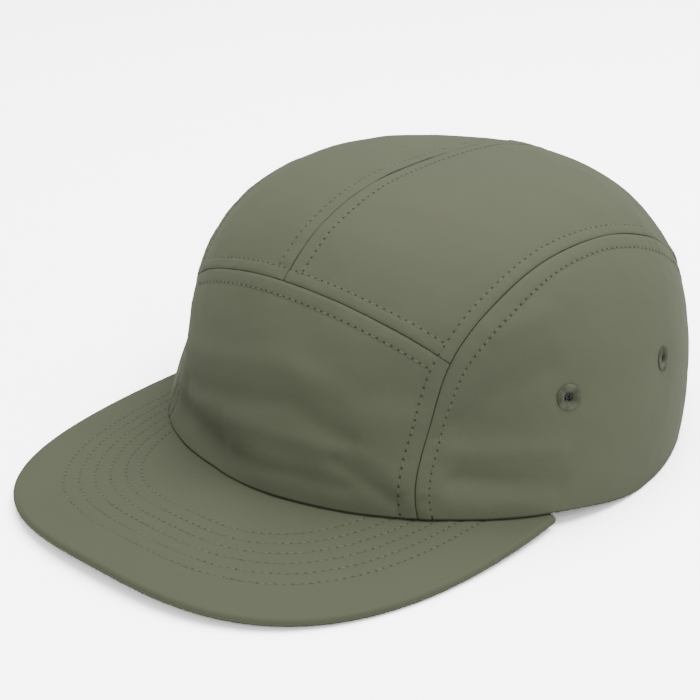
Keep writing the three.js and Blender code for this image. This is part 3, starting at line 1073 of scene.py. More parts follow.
@dataclass
class CrownPanel(ABC):
    """One panel of the crown, a wall of cloth between its seams.

    extent is the rough length of its two sides, which sets the number of grid steps.
    """

    node: str
    surface: Surface
    side: Side
    seed: int
    materials: tuple[Material, Material]
    extent: tuple[float, float] = (0.1, 0.1)
    step: float = 0.00078
    fine_step: float = 0.00018
    gap: float = 0.00004

    layers: tuple[Layer, ...] = field(default=(), init=False)
    rows: dict[Layer, RowTable] = field(default_factory=dict, init=False)
    cuts: list[Cut] = field(default_factory=list, init=False)

    @property
    def skin(self) -> CrownSkin:
        """The crown's skin."""
        return self.surface.skin

    @property
    def seams(self) -> SeamPlan:
        """The lines of the crown's seams."""
        return self.surface.seams

    @abstractmethod
    def directions(self, across: Array, up: Array) -> Array:
        """Directions of the panel at shares of its two sides."""

    def path(self, layer: Layer) -> Path:
        """Line of one of the panel's seams or hems."""
        return self.seams.path(layer, self.side)

    def cloth_place(self, directions: Array) -> Array:
        """Place of points in the flat cloth, in metres."""
        x, y, z = np.moveaxis(directions, -1, 0)
        swing = np.arcsin(np.clip(x, -1, 1))
        roll = np.arctan2(z, -y)
        return together(swing, roll) * self.skin.height

    def angle_gap(self, directions: Array) -> Array:
        """Half the gap of a seam as an angle."""
        return self.gap / size_of(self.skin.point(directions))

    def beside(self, roll: Array, towards: int) -> Array:
        """Swing beside the side seam: 1 is the side panel, -1 the others."""
        swing = self.seams.side_swing(roll)
        return swing + towards * self.angle_gap(rolled(roll, swing))

    def sheet(self) -> Draft:
        """Lays a fine grid over the panel's place on the skin and cuts its holes."""
        columns, rows = (spaced(length, self.step, self.fine_step) for length in self.extent)
        bm, column, row = Meshes.grid(len(columns) - 1, len(rows) - 1)
        Meshes.move(bm, self.skin.point(self.directions(columns[column], rows[row])))
        bm.normal_update()
        facing = sum(face.normal.dot(face.calc_center_median()) for face in bm.faces)
        if facing < 0:
            bmesh.ops.reverse_faces(bm, faces=bm.faces[:])
            bm.normal_update()
        for cut in self.cuts:
            cut.apply(bm)
        return bm

    def build(self) -> Piece:
        """Makes the panel's wall, with its relief outside and plain cloth inside."""
        bm = self.sheet()
        outer = bm.faces[:]
        made = bmesh.ops.extrude_face_region(bm, geom=outer, use_keep_orig=True)
        inner_faces = [part for part in made["geom"] if isinstance(part, Face)]
        inner_verts = {vert for face in inner_faces for vert in face.verts}
        for face in inner_faces:
            face.material_index = 1
        bm.verts.index_update()
        inner = np.zeros(len(bm.verts), bool)
        inner[[vert.index for vert in inner_verts]] = True
        plain = Meshes.coordinates(bm)
        directions = self.skin.direction(plain)
        normals = self.skin.normal(directions)
        maps = self.surface.maps(plain, self)
        lift = self.surface.lift(plain, maps, self.seed)
        lift = np.where(inner, -self.surface.thickness, lift)
        Meshes.move(bm, plain + normals * lift[:, None])
        Meshes.face_out(bm)
        piece = Meshes.finish(f"{self.node}_cloth", bm, self.materials, maps)
        return fitted(piece, self.node)


@dataclass
class FrontPanel(CrownPanel):
    """The panel over the forehead, between the two side seams."""

    extent: tuple[float, float] = (0.128, 0.066)
    seam_share: float = 0.45

    def __post_init__(self) -> None:
        """Names the seams about the panel."""
        self.layers = (Layer.SIDE_SEAM, Layer.FRONT_SEAM, Layer.HEM)
        self.rows = {Layer.SIDE_SEAM: INNER_ROW, Layer.FRONT_SEAM: LOWER_ROW}

    def directions(self, across: Array, up: Array) -> Array:
        """Directions of the panel at shares of its two sides."""
        plan = self.seams
        share = 2 * across - 1
        shares, back = np.unique(share, return_inverse=True)

        def above_rim(roll: Array) -> Array:
            """Height of the panel's columns over the hem."""
            line = rolled(roll, shares * self.beside(roll, -1))
            return plan.peak.above_rim(self.skin.point(line))

        bottom = solve(above_rim, -0.1, plan.corner_roll)
        seam = plan.front_seam_roll(np.abs(shares))
        swing = shares * self.beside(seam, -1)
        top = seam - self.angle_gap(rolled(seam, swing)) / np.cos(swing)
        roll = between(bottom[back], top[back], up)
        return rolled(roll, share * self.beside(roll, -1))

    def path(self, layer: Layer) -> Path:
        """Line of one of the panel's seams or hems."""
        return self._both_sides if layer is Layer.SIDE_SEAM else super().path(layer)

    @cached_property
    def _both_sides(self) -> Path:
        """The front ends of both side seams, as one line."""
        left, right = (self.seams.side_paths[side] for side in Side)
        return Path.joined(left, right, int(len(left.points) * self.seam_share))


@dataclass
class TopPanel(CrownPanel):
    """Half of the long panel over the top, from the front seam to the back hem."""

    extent: tuple[float, float] = (0.072, 0.235)

    def __post_init__(self) -> None:
        """Names the seams about the panel and cuts the back opening."""
        self.layers = (Layer.SIDE_SEAM, Layer.FRONT_SEAM, Layer.CENTRE_SEAM, Layer.HEM, Layer.ARCH)
        self.rows = {
            Layer.SIDE_SEAM: INNER_ROW,
            Layer.FRONT_SEAM: UPPER_ROW,
            Layer.CENTRE_SEAM: CENTRE_ROW,
            Layer.ARCH: ARCH_ROW,
        }
        plan = self.seams
        self.cuts.append(Cut(plan.arch(), plan.arch(0.0007), (0.0, 1.0, 0.0)))

    def directions(self, across: Array, up: Array) -> Array:
        """Directions of the panel at shares of its two sides."""
        plan = self.seams
        seam = plan.front_seam_roll(across)
        swing = across * self.beside(seam, -1)
        start = seam + self.angle_gap(rolled(seam, swing)) / np.cos(swing)
        roll = between(start, plan.back_roll, up)
        middle = self.side.value * plan.centre_swing(roll) + self.angle_gap(rolled(roll, 0.0))
        swing = between(middle, self.beside(roll, -1), across)
        return self.side.mirrored(rolled(roll, swing))


@dataclass
class SidePanel(CrownPanel):
    """The panel over an ear, under its long curved seam."""

    extent: tuple[float, float] = (0.190, 0.078)
    along_share: float = 24 / 36

    def __post_init__(self) -> None:
        """Names the seams about the panel and cuts the holes of its eyelets."""
        self.layers = (Layer.SIDE_SEAM, Layer.HEM)
        self.rows = {Layer.SIDE_SEAM: OUTER_ROW}
        for eyelet in self.surface.eyelets:
            if eyelet.side is self.side:
                self.cuts.append(eyelet.cut())

    def on_seam(self, roll: Array) -> Array:
        """Directions just beside the side seam."""
        return rolled(roll, self.beside(roll, 1))

    def directions(self, across: Array, up: Array) -> Array:
        """Directions of the panel at shares of its two sides."""
        plan = self.seams
        across, up = across[:, None], up[:, None]
        turn_roll = between(plan.corner_roll, plan.back_roll, self.along_share)
        front = self.on_seam(between(plan.foot_roll, plan.corner_roll, up[:, 0]))
        top = self.on_seam(between(plan.corner_roll, turn_roll, across[:, 0]))
        back = self.on_seam(between(plan.back_roll, turn_roll, up[:, 0]))
        foot, end = self.on_seam(np.array([plan.foot_roll, plan.back_roll]))
        corner, turn = self.on_seam(np.array([plan.corner_roll, turn_roll]))
        arounds = np.arctan2([foot[0], end[0]], [-foot[1], -end[1]])
        shares, found = np.unique(across[:, 0], return_inverse=True)
        rim = plan.rim_direction(between(arounds[0], arounds[1], shares))[found]
        mixed = (
            between(rim, top, up)
            + between(front, back, across)
            - foot * (1 - across) * (1 - up)
            - end * across * (1 - up)
            - corner * (1 - across) * up
            - turn * across * up
        )
        return self.side.mirrored(unit(mixed))

    def cloth_place(self, directions: Array) -> Array:
        """Place of points in the flat cloth, in metres."""
        x, y, z = np.moveaxis(directions, -1, 0)
        around = np.arctan2(np.abs(x), -y)
        return together(around, np.arcsin(np.clip(z, -1, 1))) * self.skin.height


@dataclass(frozen=True)
class EyeletPlace:
    """Where a sewn eyelet sits on the crown."""

    node: str
    side: Side
    around: float
    up: float
    skin: CrownSkin
    hole: float = 0.0036
    dimple_depth: float = 0.00055
    dimple_reach: float = 0.0075

    @cached_property
    def direction(self) -> Array:
        """Direction of the eyelet's middle."""
        middle = heading(np.array([self.around * HALF_TURN]), np.array([self.up * RIGHT_ANGLE]))
        return self.side.mirrored(middle)

    @cached_property
    def point(self) -> Vector:
        """The eyelet's middle on the skin."""
        return Vector(self.skin.point(self.direction)[0])

    @cached_property
    def normal(self) -> Vector:
        """Direction square to the cloth at the eyelet."""
        return Vector(self.skin.normal(self.direction)[0])

    def dimple(self, points: Array) -> Array:
        """Drop of the cloth about the eyelet, where its thread pulls the cloth in."""
        away = size_of(points - np.array(self.point))
        return -self.dimple_depth * bell(away, self.dimple_reach)

    def turned(self) -> Matrix:
        """Turn and place that lay an upright shape on the cloth."""
        turn = self.normal.to_track_quat("Z", "Y").to_matrix().to_4x4()
        return Matrix.Translation(self.point) @ turn

    def circle(self, radius: float, count: int = 28) -> Array:
        """Corners of a ring about the eyelet."""
        seat = self.turned()
        angles = (2 * HALF_TURN * index / count for index in range(count))
        corners = (Vector((math.cos(angle), math.sin(angle), 0)) * radius for angle in angles)
        return np.array([seat @ corner for corner in corners])

    def cut(self) -> Cut:
        """The hole that is cut out of the cloth."""
        return Cut(self.circle(self.hole), self.circle(self.hole + 0.0006), tuple(self.normal))


@dataclass(frozen=True)
class ThreadRow:
    """One row of stitches: the middle of each, its run and the way out of the cloth."""

    middles: Array
    runs: Array
    outs: Array


@dataclass
class Stitching:
    """Rows of sewn thread, made as one piece of many small stitches."""

    name: str
    material: Material
    rows: list[ThreadRow]
    length: float = 0.00175
    width: float = 0.00019
    height: float = 0.00016
    lean: float = 0.05
    unevenness: float = 0.06
    rise: float = 0.15
    seed: int = 5

    def build(self) -> Piece:
        """Makes all stitches of the rows."""
        rng = np.random.default_rng(self.seed)
        middles = np.concatenate([row.middles for row in self.rows])
        along = unit(np.concatenate([row.runs for row in self.rows]))
        outs = np.concatenate([row.outs for row in self.rows])
        up = unit(outs - along * np.sum(along * outs, axis=-1, keepdims=True))
        beside = np.cross(up, along)
        turn = rng.normal(0, self.lean, (len(middles), 1))
        stretch = 1 + rng.normal(0, self.unevenness, (len(middles), 1))
        stitch = bmesh.new()
        lying = Matrix.Rotation(RIGHT_ANGLE, 4, "Y")
        bmesh.ops.create_uvsphere(stitch, u_segments=6, v_segments=4, radius=1.0, matrix=lying)
        bm = Meshes.repeat(stitch, len(middles))
        balls = Meshes.coordinates(bm).reshape(len(middles), -1, 3)
        axes = (
            (along + beside * turn) * self.length / 2 * stretch,
            (beside - along * turn) * self.width,
            up * self.height,
        )
        points = (middles + up * self.height * self.rise)[:, None, :]
        for number, axis in enumerate(axes):
            points = points + axis[:, None, :] * balls[:, :, number : number + 1]
        Meshes.move(bm, points.reshape(-1, 3))
        piece = Meshes.finish(self.name, bm, [self.material])
        return fitted(piece)


@dataclass
class CrownRows:
    """The rows of stitches on both sides of each seam of the crown."""

    surface: Surface
    front: FrontPanel
    tops: dict[Side, TopPanel]
    sides: dict[Side, SidePanel]
    pitch: float = PITCH

    def places(self, start: float, end: float) -> Array:
        """Lengths along a path at the middles of its stitches."""
        first = math.ceil(start / self.pitch)
        last = math.floor(end / self.pitch)
        return (np.arange(first, last) + 0.5) * self.pitch

    def beside(self, path: Path, along: Array, offset: Array) -> tuple[Array, Array]:
        """Points of the plain skin beside a path, and the way that the row runs.

        Args:
            path: The seam.
            along: Lengths along the seam.
            offset: Signed distances to the left of the path's run, seen from outside.

        Returns:
            The points and the directions of the row.
        """
        skin = self.surface.skin
        on_path = traced(along, path.lengths, path.points)
        run = unit(traced(along, path.lengths, path.tangents))
        out = skin.normal(skin.direction(on_path))
        aside = on_path + np.cross(out, run) * offset[:, None]
        return skin.point(skin.direction(aside)), run

    def row(
        self, panel: CrownPanel, layer: Layer, path: Path, span: tuple[float, float], towards: int
    ) -> ThreadRow:
        """One row on a panel beside one of its seams.

        Args:
            panel: The panel that the row is sewn on.
            layer: The seam that the row follows.
            path: The seam's line.
            span: Lengths along the seam between which the row runs.
            towards: 1 for the left of the path's run and -1 for its right.

        Returns:
            The row.
        """
        along = self.places(*span)
        plain, run = self.beside(path, along, panel.rows[layer].at(along) * towards)
        raised = self.surface.raised(plain, panel)
        out = self.surface.skin.normal(self.surface.skin.direction(plain))
        return ThreadRow(raised, run, out)

    def build(self) -> list[ThreadRow]:
        """Makes the rows of all seams."""
        plan, rows = self.surface.seams, []
        for side in Side:
            path, sign = plan.side_paths[side], side.value
            corner = np.array([plan.seam_point(np.array([plan.corner_roll]))[0]])
            corner_along = float(path.near(side.mirrored(corner))[0][0])
            last = path.total - 0.001
            rows.append(self.row(self.front, Layer.SIDE_SEAM, path, (0.001, corner_along), sign))
            rows.append(self.row(self.tops[side], Layer.SIDE_SEAM, path, (corner_along, last), sign))
            rows.append(self.row(self.sides[side], Layer.SIDE_SEAM, path, (0.001, last), -sign))
        path, inset = plan.front_path, float(INNER_ROW.at(0.05))
        total = path.total
        spans = {Side.LEFT: (total / 2, total - inset), Side.RIGHT: (inset, total / 2)}
        for side, span in spans.items():
            rows.append(self.row(self.tops[side], Layer.FRONT_SEAM, path, span, 1))
        rows.append(self.row(self.front, Layer.FRONT_SEAM, path, (inset, total - inset), -1))
        path = plan.centre_path
        arch_top = np.array([plan.on_back(np.array([0.0]), np.array([plan.opening_height]))[0]])
        end = float(path.near(arch_top)[0][0]) - float(ARCH_ROW.at(0.0))
        for side in Side:
            span = (float(UPPER_ROW.at(0.0)), end)
            rows.append(self.row(self.tops[side], Layer.CENTRE_SEAM, path, span, -side.value))
            rows.append(self.arch_row(side))
        return rows

    def arch_row(self, side: Side) -> ThreadRow:
        """The row along the hem of the back opening, on one half."""
        path, skin = self.surface.seams.arch_path, self.surface.skin
        half = path.total / 2
        span = (0.002, half) if side is Side.LEFT else (half, path.total - 0.002)
        along = self.places(*span)
        plain, _ = self.beside(path, along, ARCH_ROW.at(along))
        other, _ = self.beside(path, along, -ARCH_ROW.at(along))
        keep = plain if float(plain[len(plain) // 2][2]) > float(other[len(other) // 2][2]) else other
        raised = self.surface.raised(keep, self.tops[side])
        run = unit(np.gradient(raised, axis=0))
        return ThreadRow(raised, run, skin.normal(skin.direction(keep)))


@dataclass
class Peak:
    """The stiff peak: two covers over a board, quilted by rows along its edge."""

    shape: PeakShape
    seams: SeamPlan
    cloth: Material
    first_row: float = 0.0147
    row_step: float = 0.0046
    row_count: int = 6
    step: float = 0.0008
    sink: float = 0.00008
    row_spread: float = 0.0008
    swell: float = 0.00003
    pucker: float = 0.00006
    pucker_reach: float = 0.0028
    unevenness: float = 0.00012
    edge_groove: float = 0.00014
    # how far below the middle of the rim's rounding the line of painted shade runs
    edge_line: float = 0.0015
    edge_fade: float = 0.004
    edge_length: float = 0.33
    edge_rows: int = 11
    depth: float = 0.0618
    pitch: float = PITCH

    def inner(self, around: Array) -> Array:
        """Points in plan of the inner edge, tucked in under the crown's wall."""
        nudge = 1e-3
        before = self.shape.skin.point(self.seams.rim_direction(around - nudge))
        after = self.shape.skin.point(self.seams.rim_direction(around + nudge))
        ahead = after - before
        inward = unit(together(-ahead[..., 1], ahead[..., 0]))
        place = self.shape.skin.point(self.seams.rim_direction(around))
        return place[..., :2] + inward * self.shape.tuck

    @cached_property
    def end_around(self) -> float:
        """Turn at which the inner edge reaches the peak's ends."""

        def gap(around: Array) -> Array:
            """How far the inner edge lies behind the peak's ends."""
            return self.inner(around)[..., 1] - self.shape.end_y

        return zero_of(gap, 0.3, RIGHT_ANGLE * 1.3)

    def row_place(self, plan: Array) -> tuple[Array, Array, Array]:
        """Where points in plan lie against the rows.

        Args:
            plan: Points in plan.

        Returns:
            The number of the nearest row, the length along it and the distance from it,
            which is far outside the first row and inside the last one.
        """
        shape, power = self.shape, self.shape.squareness
        across = np.abs(plan[:, 0])
        ahead = np.maximum(shape.end_y - plan[:, 1], 0.0)
        depth = solve(
            lambda deep: (across / (shape.half_width - deep)) ** power
            + (ahead / (shape.length - deep)) ** power
            - 1,
            -0.004,
            shape.half_width - 0.002,
        )
        number = np.clip(np.rint((depth - self.first_row) / self.row_step), 0, self.row_count - 1)
        away = depth - self.first_row - number * self.row_step
        away = np.where(np.abs(away) > self.row_step, FAR, np.abs(away))
        angle = np.arctan2(
            (ahead / (shape.length - depth)) ** (power / 2),
            np.sign(plan[:, 0]) * (across / (shape.half_width - depth)) ** (power / 2),
        )
        along = np.zeros_like(away)
        for row in range(self.row_count):
            angles, lengths, _ = self.row_line(row)
            here = number == row
            along[here] = np.interp(angle[here], angles, lengths)
        return number, along, away

    def row_line(self, row: int) -> tuple[Array, Array, Array]:
        """Angles, signed lengths from the middle and plan points along a row."""
        shape, power = self.shape, 2 / self.shape.squareness
        depth = self.first_row + row * self.row_step
        angles = np.linspace(1e-4, HALF_TURN - 1e-4, 1201)
        x = (shape.half_width - depth) * np.sign(np.cos(angles)) * np.abs(np.cos(angles)) ** power
        y = shape.end_y - (shape.length - depth) * np.sin(angles) ** power
        plan = together(x, y)
        lengths = lengths_of(plan)
        return angles, lengths - np.interp(RIGHT_ANGLE, angles, lengths), plan

    def lift(self, plan: Array, seed: int) -> tuple[Array, Array]:
        """Height of the quilted cloth over the board, and its map of the rows."""
        number, along, away = self.row_place(plan)
        near = np.minimum(away, self.row_step / 2)
        valley = -self.sink * bell(near, self.row_spread)
        swell = self.swell * smooth(near / (self.row_step / 2)) * (away < self.row_step)
        places = together(along + number * 0.31, near, number * 0.11)
        fine = Ripple(seed, shortest=0.0026, longest=0.0065, stretch=(1.0, 2.4, 1.0)).at(places)
        wide = Ripple(seed + 3, shortest=0.008, longest=0.022, stretch=(1.0, 2.0, 1.0)).at(places)
        pucker = self.pucker * (0.6 * fine + 0.7 * wide) * bell(near, self.pucker_reach)
        flat = np.concatenate([plan, np.zeros((len(plan), 1))], axis=-1)
        uneven = self.unevenness * Ripple(seed + 5, shortest=0.02, longest=0.07).at(flat)
        return valley + swell + pucker + uneven, together(along, away)

    def build(self) -> Piece:
        """Makes the peak's closed shape."""
        shape = self.shape
        count = int(self.edge_length / self.step)
        crest, outward = shape.edges(count)
        share = np.linspace(0, 1, count + 1)
        inner = self.inner(between(-self.end_around, self.end_around, share))
        top_rows = spaced(self.depth, self.step, self.step)
        low_rows = spaced(self.depth, self.step * 1.5, self.step * 1.5)[::-1]
        arcs = np.linspace(RIGHT_ANGLE, -RIGHT_ANGLE, self.edge_rows + 2)[1:-1]
        total = len(top_rows) + len(arcs) + len(low_rows)
        bm, column, row = Meshes.grid(count, total - 1)
        kinds = np.concatenate([np.zeros(len(top_rows)), np.ones(len(arcs)), np.full(len(low_rows), 2)])
        values = np.concatenate([top_rows, arcs, low_rows])
        kind, value = kinds[row], values[row]
        round_size = shape.thickness / 2
        across = np.where(kind == 1, 1.0, value)[:, None]
        plan = between(inner[column], crest[column], across)
        base = shape.top(plan[:, 0], plan[:, 1])
        upper, upper_map = self.lift(plan, 31)
        lower, _ = self.lift(plan, 57)
        from_crest = size_of(plan - crest[column])
        fade = smooth(from_crest / self.edge_fade)
        angle = np.where(kind == 1, value, 0.0)
        groove = self.edge_groove * bell(angle * round_size + 0.0003, 0.0004)
        swung = (round_size * np.cos(angle) - groove) * (kind == 1)
        plan = plan + outward[column] * swung[:, None]
        height = np.where(kind == 0, base + upper * fade, base - shape.thickness - lower * fade)
        height = np.where(kind == 1, base - round_size + round_size * np.sin(angle), height)
        Meshes.move(bm, np.concatenate([plan, height[:, None]], axis=-1))
        self.close(bm, row)
        away = np.where((kind == 1) | (fade < 0.2), FAR, upper_map[:, 1])
        turned = np.select([kind == 0, kind == 1], [RIGHT_ANGLE, value], -RIGHT_ANGLE)
        # distance from the line of painted shade on the lower part of the rim
        from_edge = np.abs(turned * round_size + self.edge_line) + from_crest * (kind != 1)
        maps = {
            Layer.EDGE: together(upper_map[:, 0], from_edge),
            Layer.HEM: together(upper_map[:, 0], away),
            Layer.CLOTH: plan.copy(),
        }
        piece = Meshes.finish("peak_cover", bm, [self.cloth], maps)
        return fitted(piece, "peak")

    def close(self, bm: Draft, row: Array) -> None:
        """Closes the inner edge with a narrow wall, and then the two ends of the peak."""
        bm.verts.index_update()
        open_edges = [edge for edge in bm.edges if edge.is_boundary]
        inner = [edge for edge in open_edges if row[edge.verts[0].index] == row[edge.verts[1].index]]
        bmesh.ops.bridge_loops(bm, edges=inner)
        bmesh.ops.holes_fill(bm, edges=[edge for edge in bm.edges if edge.is_boundary], sides=0)
        Meshes.face_out(bm)

    def outside_crown(self, plan: Array) -> Array:
        """Whether points in plan lie in front of the crown's hem."""
        around = np.arctan2(plan[:, 0], -plan[:, 1])
        hem = self.shape.skin.point(self.seams.rim_direction(around))
        return size_of(plan) > size_of(hem[:, :2]) + 0.0004

    def rows(self) -> list[ThreadRow]:
        """The rows of stitches on the top and on the underside."""
        made: list[ThreadRow] = []
        for row in range(self.row_count):
            _, lengths, plan = self.row_line(row)
            half = int(lengths[-1] / self.pitch)
            along = (np.arange(-half, half) + 0.5) * self.pitch
            at = traced(along, lengths, plan)
            ahead = traced(along + 2e-4, lengths, plan)
            keep = self.outside_crown(at) & (at[:, 1] < self.shape.end_y)
            at, ahead = at[keep], ahead[keep]
            if len(at) == 0:
                continue
            base = self.shape.top(at[:, 0], at[:, 1])
            run = np.concatenate([ahead, self.shape.top(ahead[:, 0], ahead[:, 1])[:, None]], axis=-1)
            slope = unit(run - np.concatenate([at, base[:, None]], axis=-1))
            for seed, sign in ((31, 1.0), (57, -1.0)):
                lift, _ = self.lift(at, seed)
                height = base + lift if sign > 0 else base - self.shape.thickness - lift
                middles = np.concatenate([at, height[:, None]], axis=-1)
                outs = np.tile([0.0, 0.0, sign], (len(at), 1))
                made.append(ThreadRow(middles, slope, outs))
        return made


@dataclass
class Bands:
    """Places against the inside of the crown, by turn, height over the hem and depth."""

    seams: SeamPlan
    lining_depth: float = 0.00165

    def place(self, around: Array, height: Array, depth: Array) -> Array:
        """Points at turns, heights over the hem and depths under the skin."""
        plan = self.seams
        directions = plan.at_height(around, lambda points: plan.peak.above_rim(points) - height)
        points = plan.skin.under(directions, depth)
        level = plan.skin.point(directions)[:, 2]
        low = smooth(1 - height / 0.004)
        points[:, 2] = between(points[:, 2], level, low)
        return points


@dataclass
class Sweatband:
    """The band of twill inside the hem, folded over at its top."""

    bands: Bands
    cloth: Material
    low: float = 0.0006
    high: float = 0.030
    thickness: float = 0.0012
    end_distance: float = 0.043
    round_off: float = 0.0005
    row_heights: tuple[float, float] = (0.0032, 0.0268)
    row_sink: float = 0.00018
    row_spread: float = 0.0008
    wave: float = 0.00013
    gather: float = 0.00009
    gather_reach: float = 0.003
    least_thickness: float = 0.00035
    pitch: float = BAND_PITCH
    steps: int = 460

    @cached_property
    def end(self) -> float:
        """Turn at which the band ends."""
        return self.bands.seams.back_turn(self.end_distance)

    def inner_depth(self, around: Array, height: Array) -> Array:
        """Depth of the face towards the head."""
        lengths = around * RIM_RADIUS
        places = together(lengths, height, 0.0)
        waves = self.wave * Ripple(81, shortest=0.012, longest=0.05, stretch=(1.0, 1.6, 1.0)).at(places)
        rows = sum(self.row_sink * bell(height - place, self.row_spread) for place in self.row_heights)
        gathers = sum(bell(height - place, self.gather_reach) for place in self.row_heights)
        fine = Ripple(83, shortest=0.003, longest=0.009, stretch=(1.0, 2.5, 1.0)).at(places)
        fine = self.gather * fine * gathers
        edge = turned_down(np.minimum(height - self.low, self.high - height), self.round_off)
        depth = self.bands.lining_depth + self.thickness + waves + fine - rows - edge
        return np.maximum(depth, self.bands.lining_depth + self.least_thickness)

    def build(self) -> Piece:
        """Makes the band's wall."""
        rows = spaced(self.high - self.low, 0.001, 0.0003)
        bm, along, up, inner = Meshes.wall(self.steps, rows)
        around = between(-self.end, self.end, along)
        height = between(self.low, self.high, up)
        depth = np.where(inner, self.inner_depth(around, height), self.bands.lining_depth)
        Meshes.move(bm, self.bands.place(around, height, depth))
        Meshes.face_out(bm)
        lengths = around * RIM_RADIUS
        nearest = np.min([np.abs(height - place) for place in self.row_heights], axis=0)
        maps = {
            Layer.CLOTH: together(lengths, height),
            Layer.HEM: together(lengths, np.where(inner, nearest, FAR)),
        }
        piece = Meshes.finish("sweatband_twill", bm, [self.cloth], maps)
        return fitted(piece, "sweatband")

    def rows(self) -> list[ThreadRow]:
        """The rows of stitches on the face towards the head."""
        made = []
        last = self.end * RIM_RADIUS / self.pitch
        around = (np.arange(-math.floor(last), math.floor(last)) + 0.5) * self.pitch / RIM_RADIUS
        for place in self.row_heights:
            height = np.full_like(around, place)
            depth = self.inner_depth(around, height)
            middles = self.bands.place(around, height, depth)
            outward = self.bands.place(around, height, depth - 0.0005) - middles
            made.append(ThreadRow(middles, unit(np.gradient(middles, axis=0)), -unit(outward)))
        return made


@dataclass
class Eyelet:
    """A sewn eyelet: a ring of thread wound through the cloth."""

    place: EyeletPlace
    thread: Material
    stitches: int = 34
    ridge: float = 0.00011
    waist: float = -0.0011
    rim_radius: float = 0.0038
    rim_swell: float = 0.02
    profile: tuple[tuple[float, float], ...] = (
        (0.00355, -0.00060), (0.00395, -0.00050), (0.00412, -0.00034), (0.00392, -0.00016),
        (0.00345, -0.00004), (0.00285, 0.00000), (0.00225, -0.00010), (0.00175, -0.00034),
        (0.00142, -0.00072), (0.00130, -0.00112), (0.00145, -0.00152), (0.00200, -0.00178),
        (0.00300, -0.00186), (0.00380, -0.00178), (0.00398, -0.00168), (0.00360, -0.00160),
    )

    def build(self) -> Piece:
        """Spins the ring and raises its wound threads."""
        bm = bmesh.new()
        verts = [bm.verts.new((radius, 0.0, height)) for radius, height in self.profile]
        edges = [bm.edges.new(pair) for pair in zip(verts, verts[1:] + verts[:1])]
        bmesh.ops.spin(
            bm,
            geom=[*verts, *edges],
            cent=(0, 0, 0),
            axis=(0, 0, 1),
            angle=2 * HALF_TURN,
            steps=self.stitches * 4,
            use_merge=True,
        )
        bmesh.ops.remove_doubles(bm, verts=bm.verts[:], dist=1e-7)
        for vert in bm.verts:
            angle = math.atan2(vert.co.y, vert.co.x)
            radius = vert.co.xy.length
            wound = abs(math.sin(angle * self.stitches / 2)) - 0.5
            uneven = 0.35 * math.sin(angle * 5 + 1.3) + 0.25 * math.sin(angle * 11)
            swell = self.ridge * (wound + 0.5 * uneven)
            outward = 1 if vert.co.z > self.waist else -1
            vert.co.z += outward * swell * 1.6
            if radius > self.rim_radius:
                vert.co.xy *= 1 + self.rim_swell * wound
        bmesh.ops.transform(bm, matrix=self.place.turned(), verts=bm.verts[:])
        Meshes.face_out(bm)
        piece = Meshes.finish(f"{self.place.node}_thread", bm, [self.thread])
        return fitted(piece, self.place.node)


@dataclass
class BackStrap:
    """The webbing across the back opening."""

    bands: Bands
    webbing: Material
    low: float = 0.003
    width: float = 0.020
    thickness: float = 0.0014
    end_distance: float = 0.042
    round_off: float = 0.00045
    rib_depth: float = 0.00006
    rib_pitch: float = 0.0021
    steps: int = 170

    @cached_property
    def reach(self) -> float:
        """Turn from the middle of the back to the strap's end."""
        return HALF_TURN - self.bands.seams.back_turn(self.end_distance)

    def build(self) -> Piece:
        """Makes the strap's woven band."""
        rows = spaced(self.width, 0.0005, 0.00012, 0.001)
        bm, along, up, inner = Meshes.wall(self.steps, rows)
        around = HALF_TURN + between(self.reach, -self.reach, along)
        across = up * self.width
        edge = turned_down(np.minimum(across, self.width - across), self.round_off)
        lengths = (HALF_TURN - around) * self.bands.seams.skin.back_reach
        rib = self.rib_depth * np.cos(across * 2 * HALF_TURN / self.rib_pitch)
        outer_depth = self.bands.lining_depth + edge - rib
        inner_depth = self.bands.lining_depth + self.thickness - edge + rib
        depth = np.where(inner, inner_depth, outer_depth)
        Meshes.move(bm, self.bands.place(around, self.low + across, depth))
        Meshes.face_out(bm)
        maps = {Layer.CLOTH: together(lengths, across)}
        piece = Meshes.finish("back_strap_webbing", bm, [self.webbing], maps)
        return fitted(piece, "back_strap")


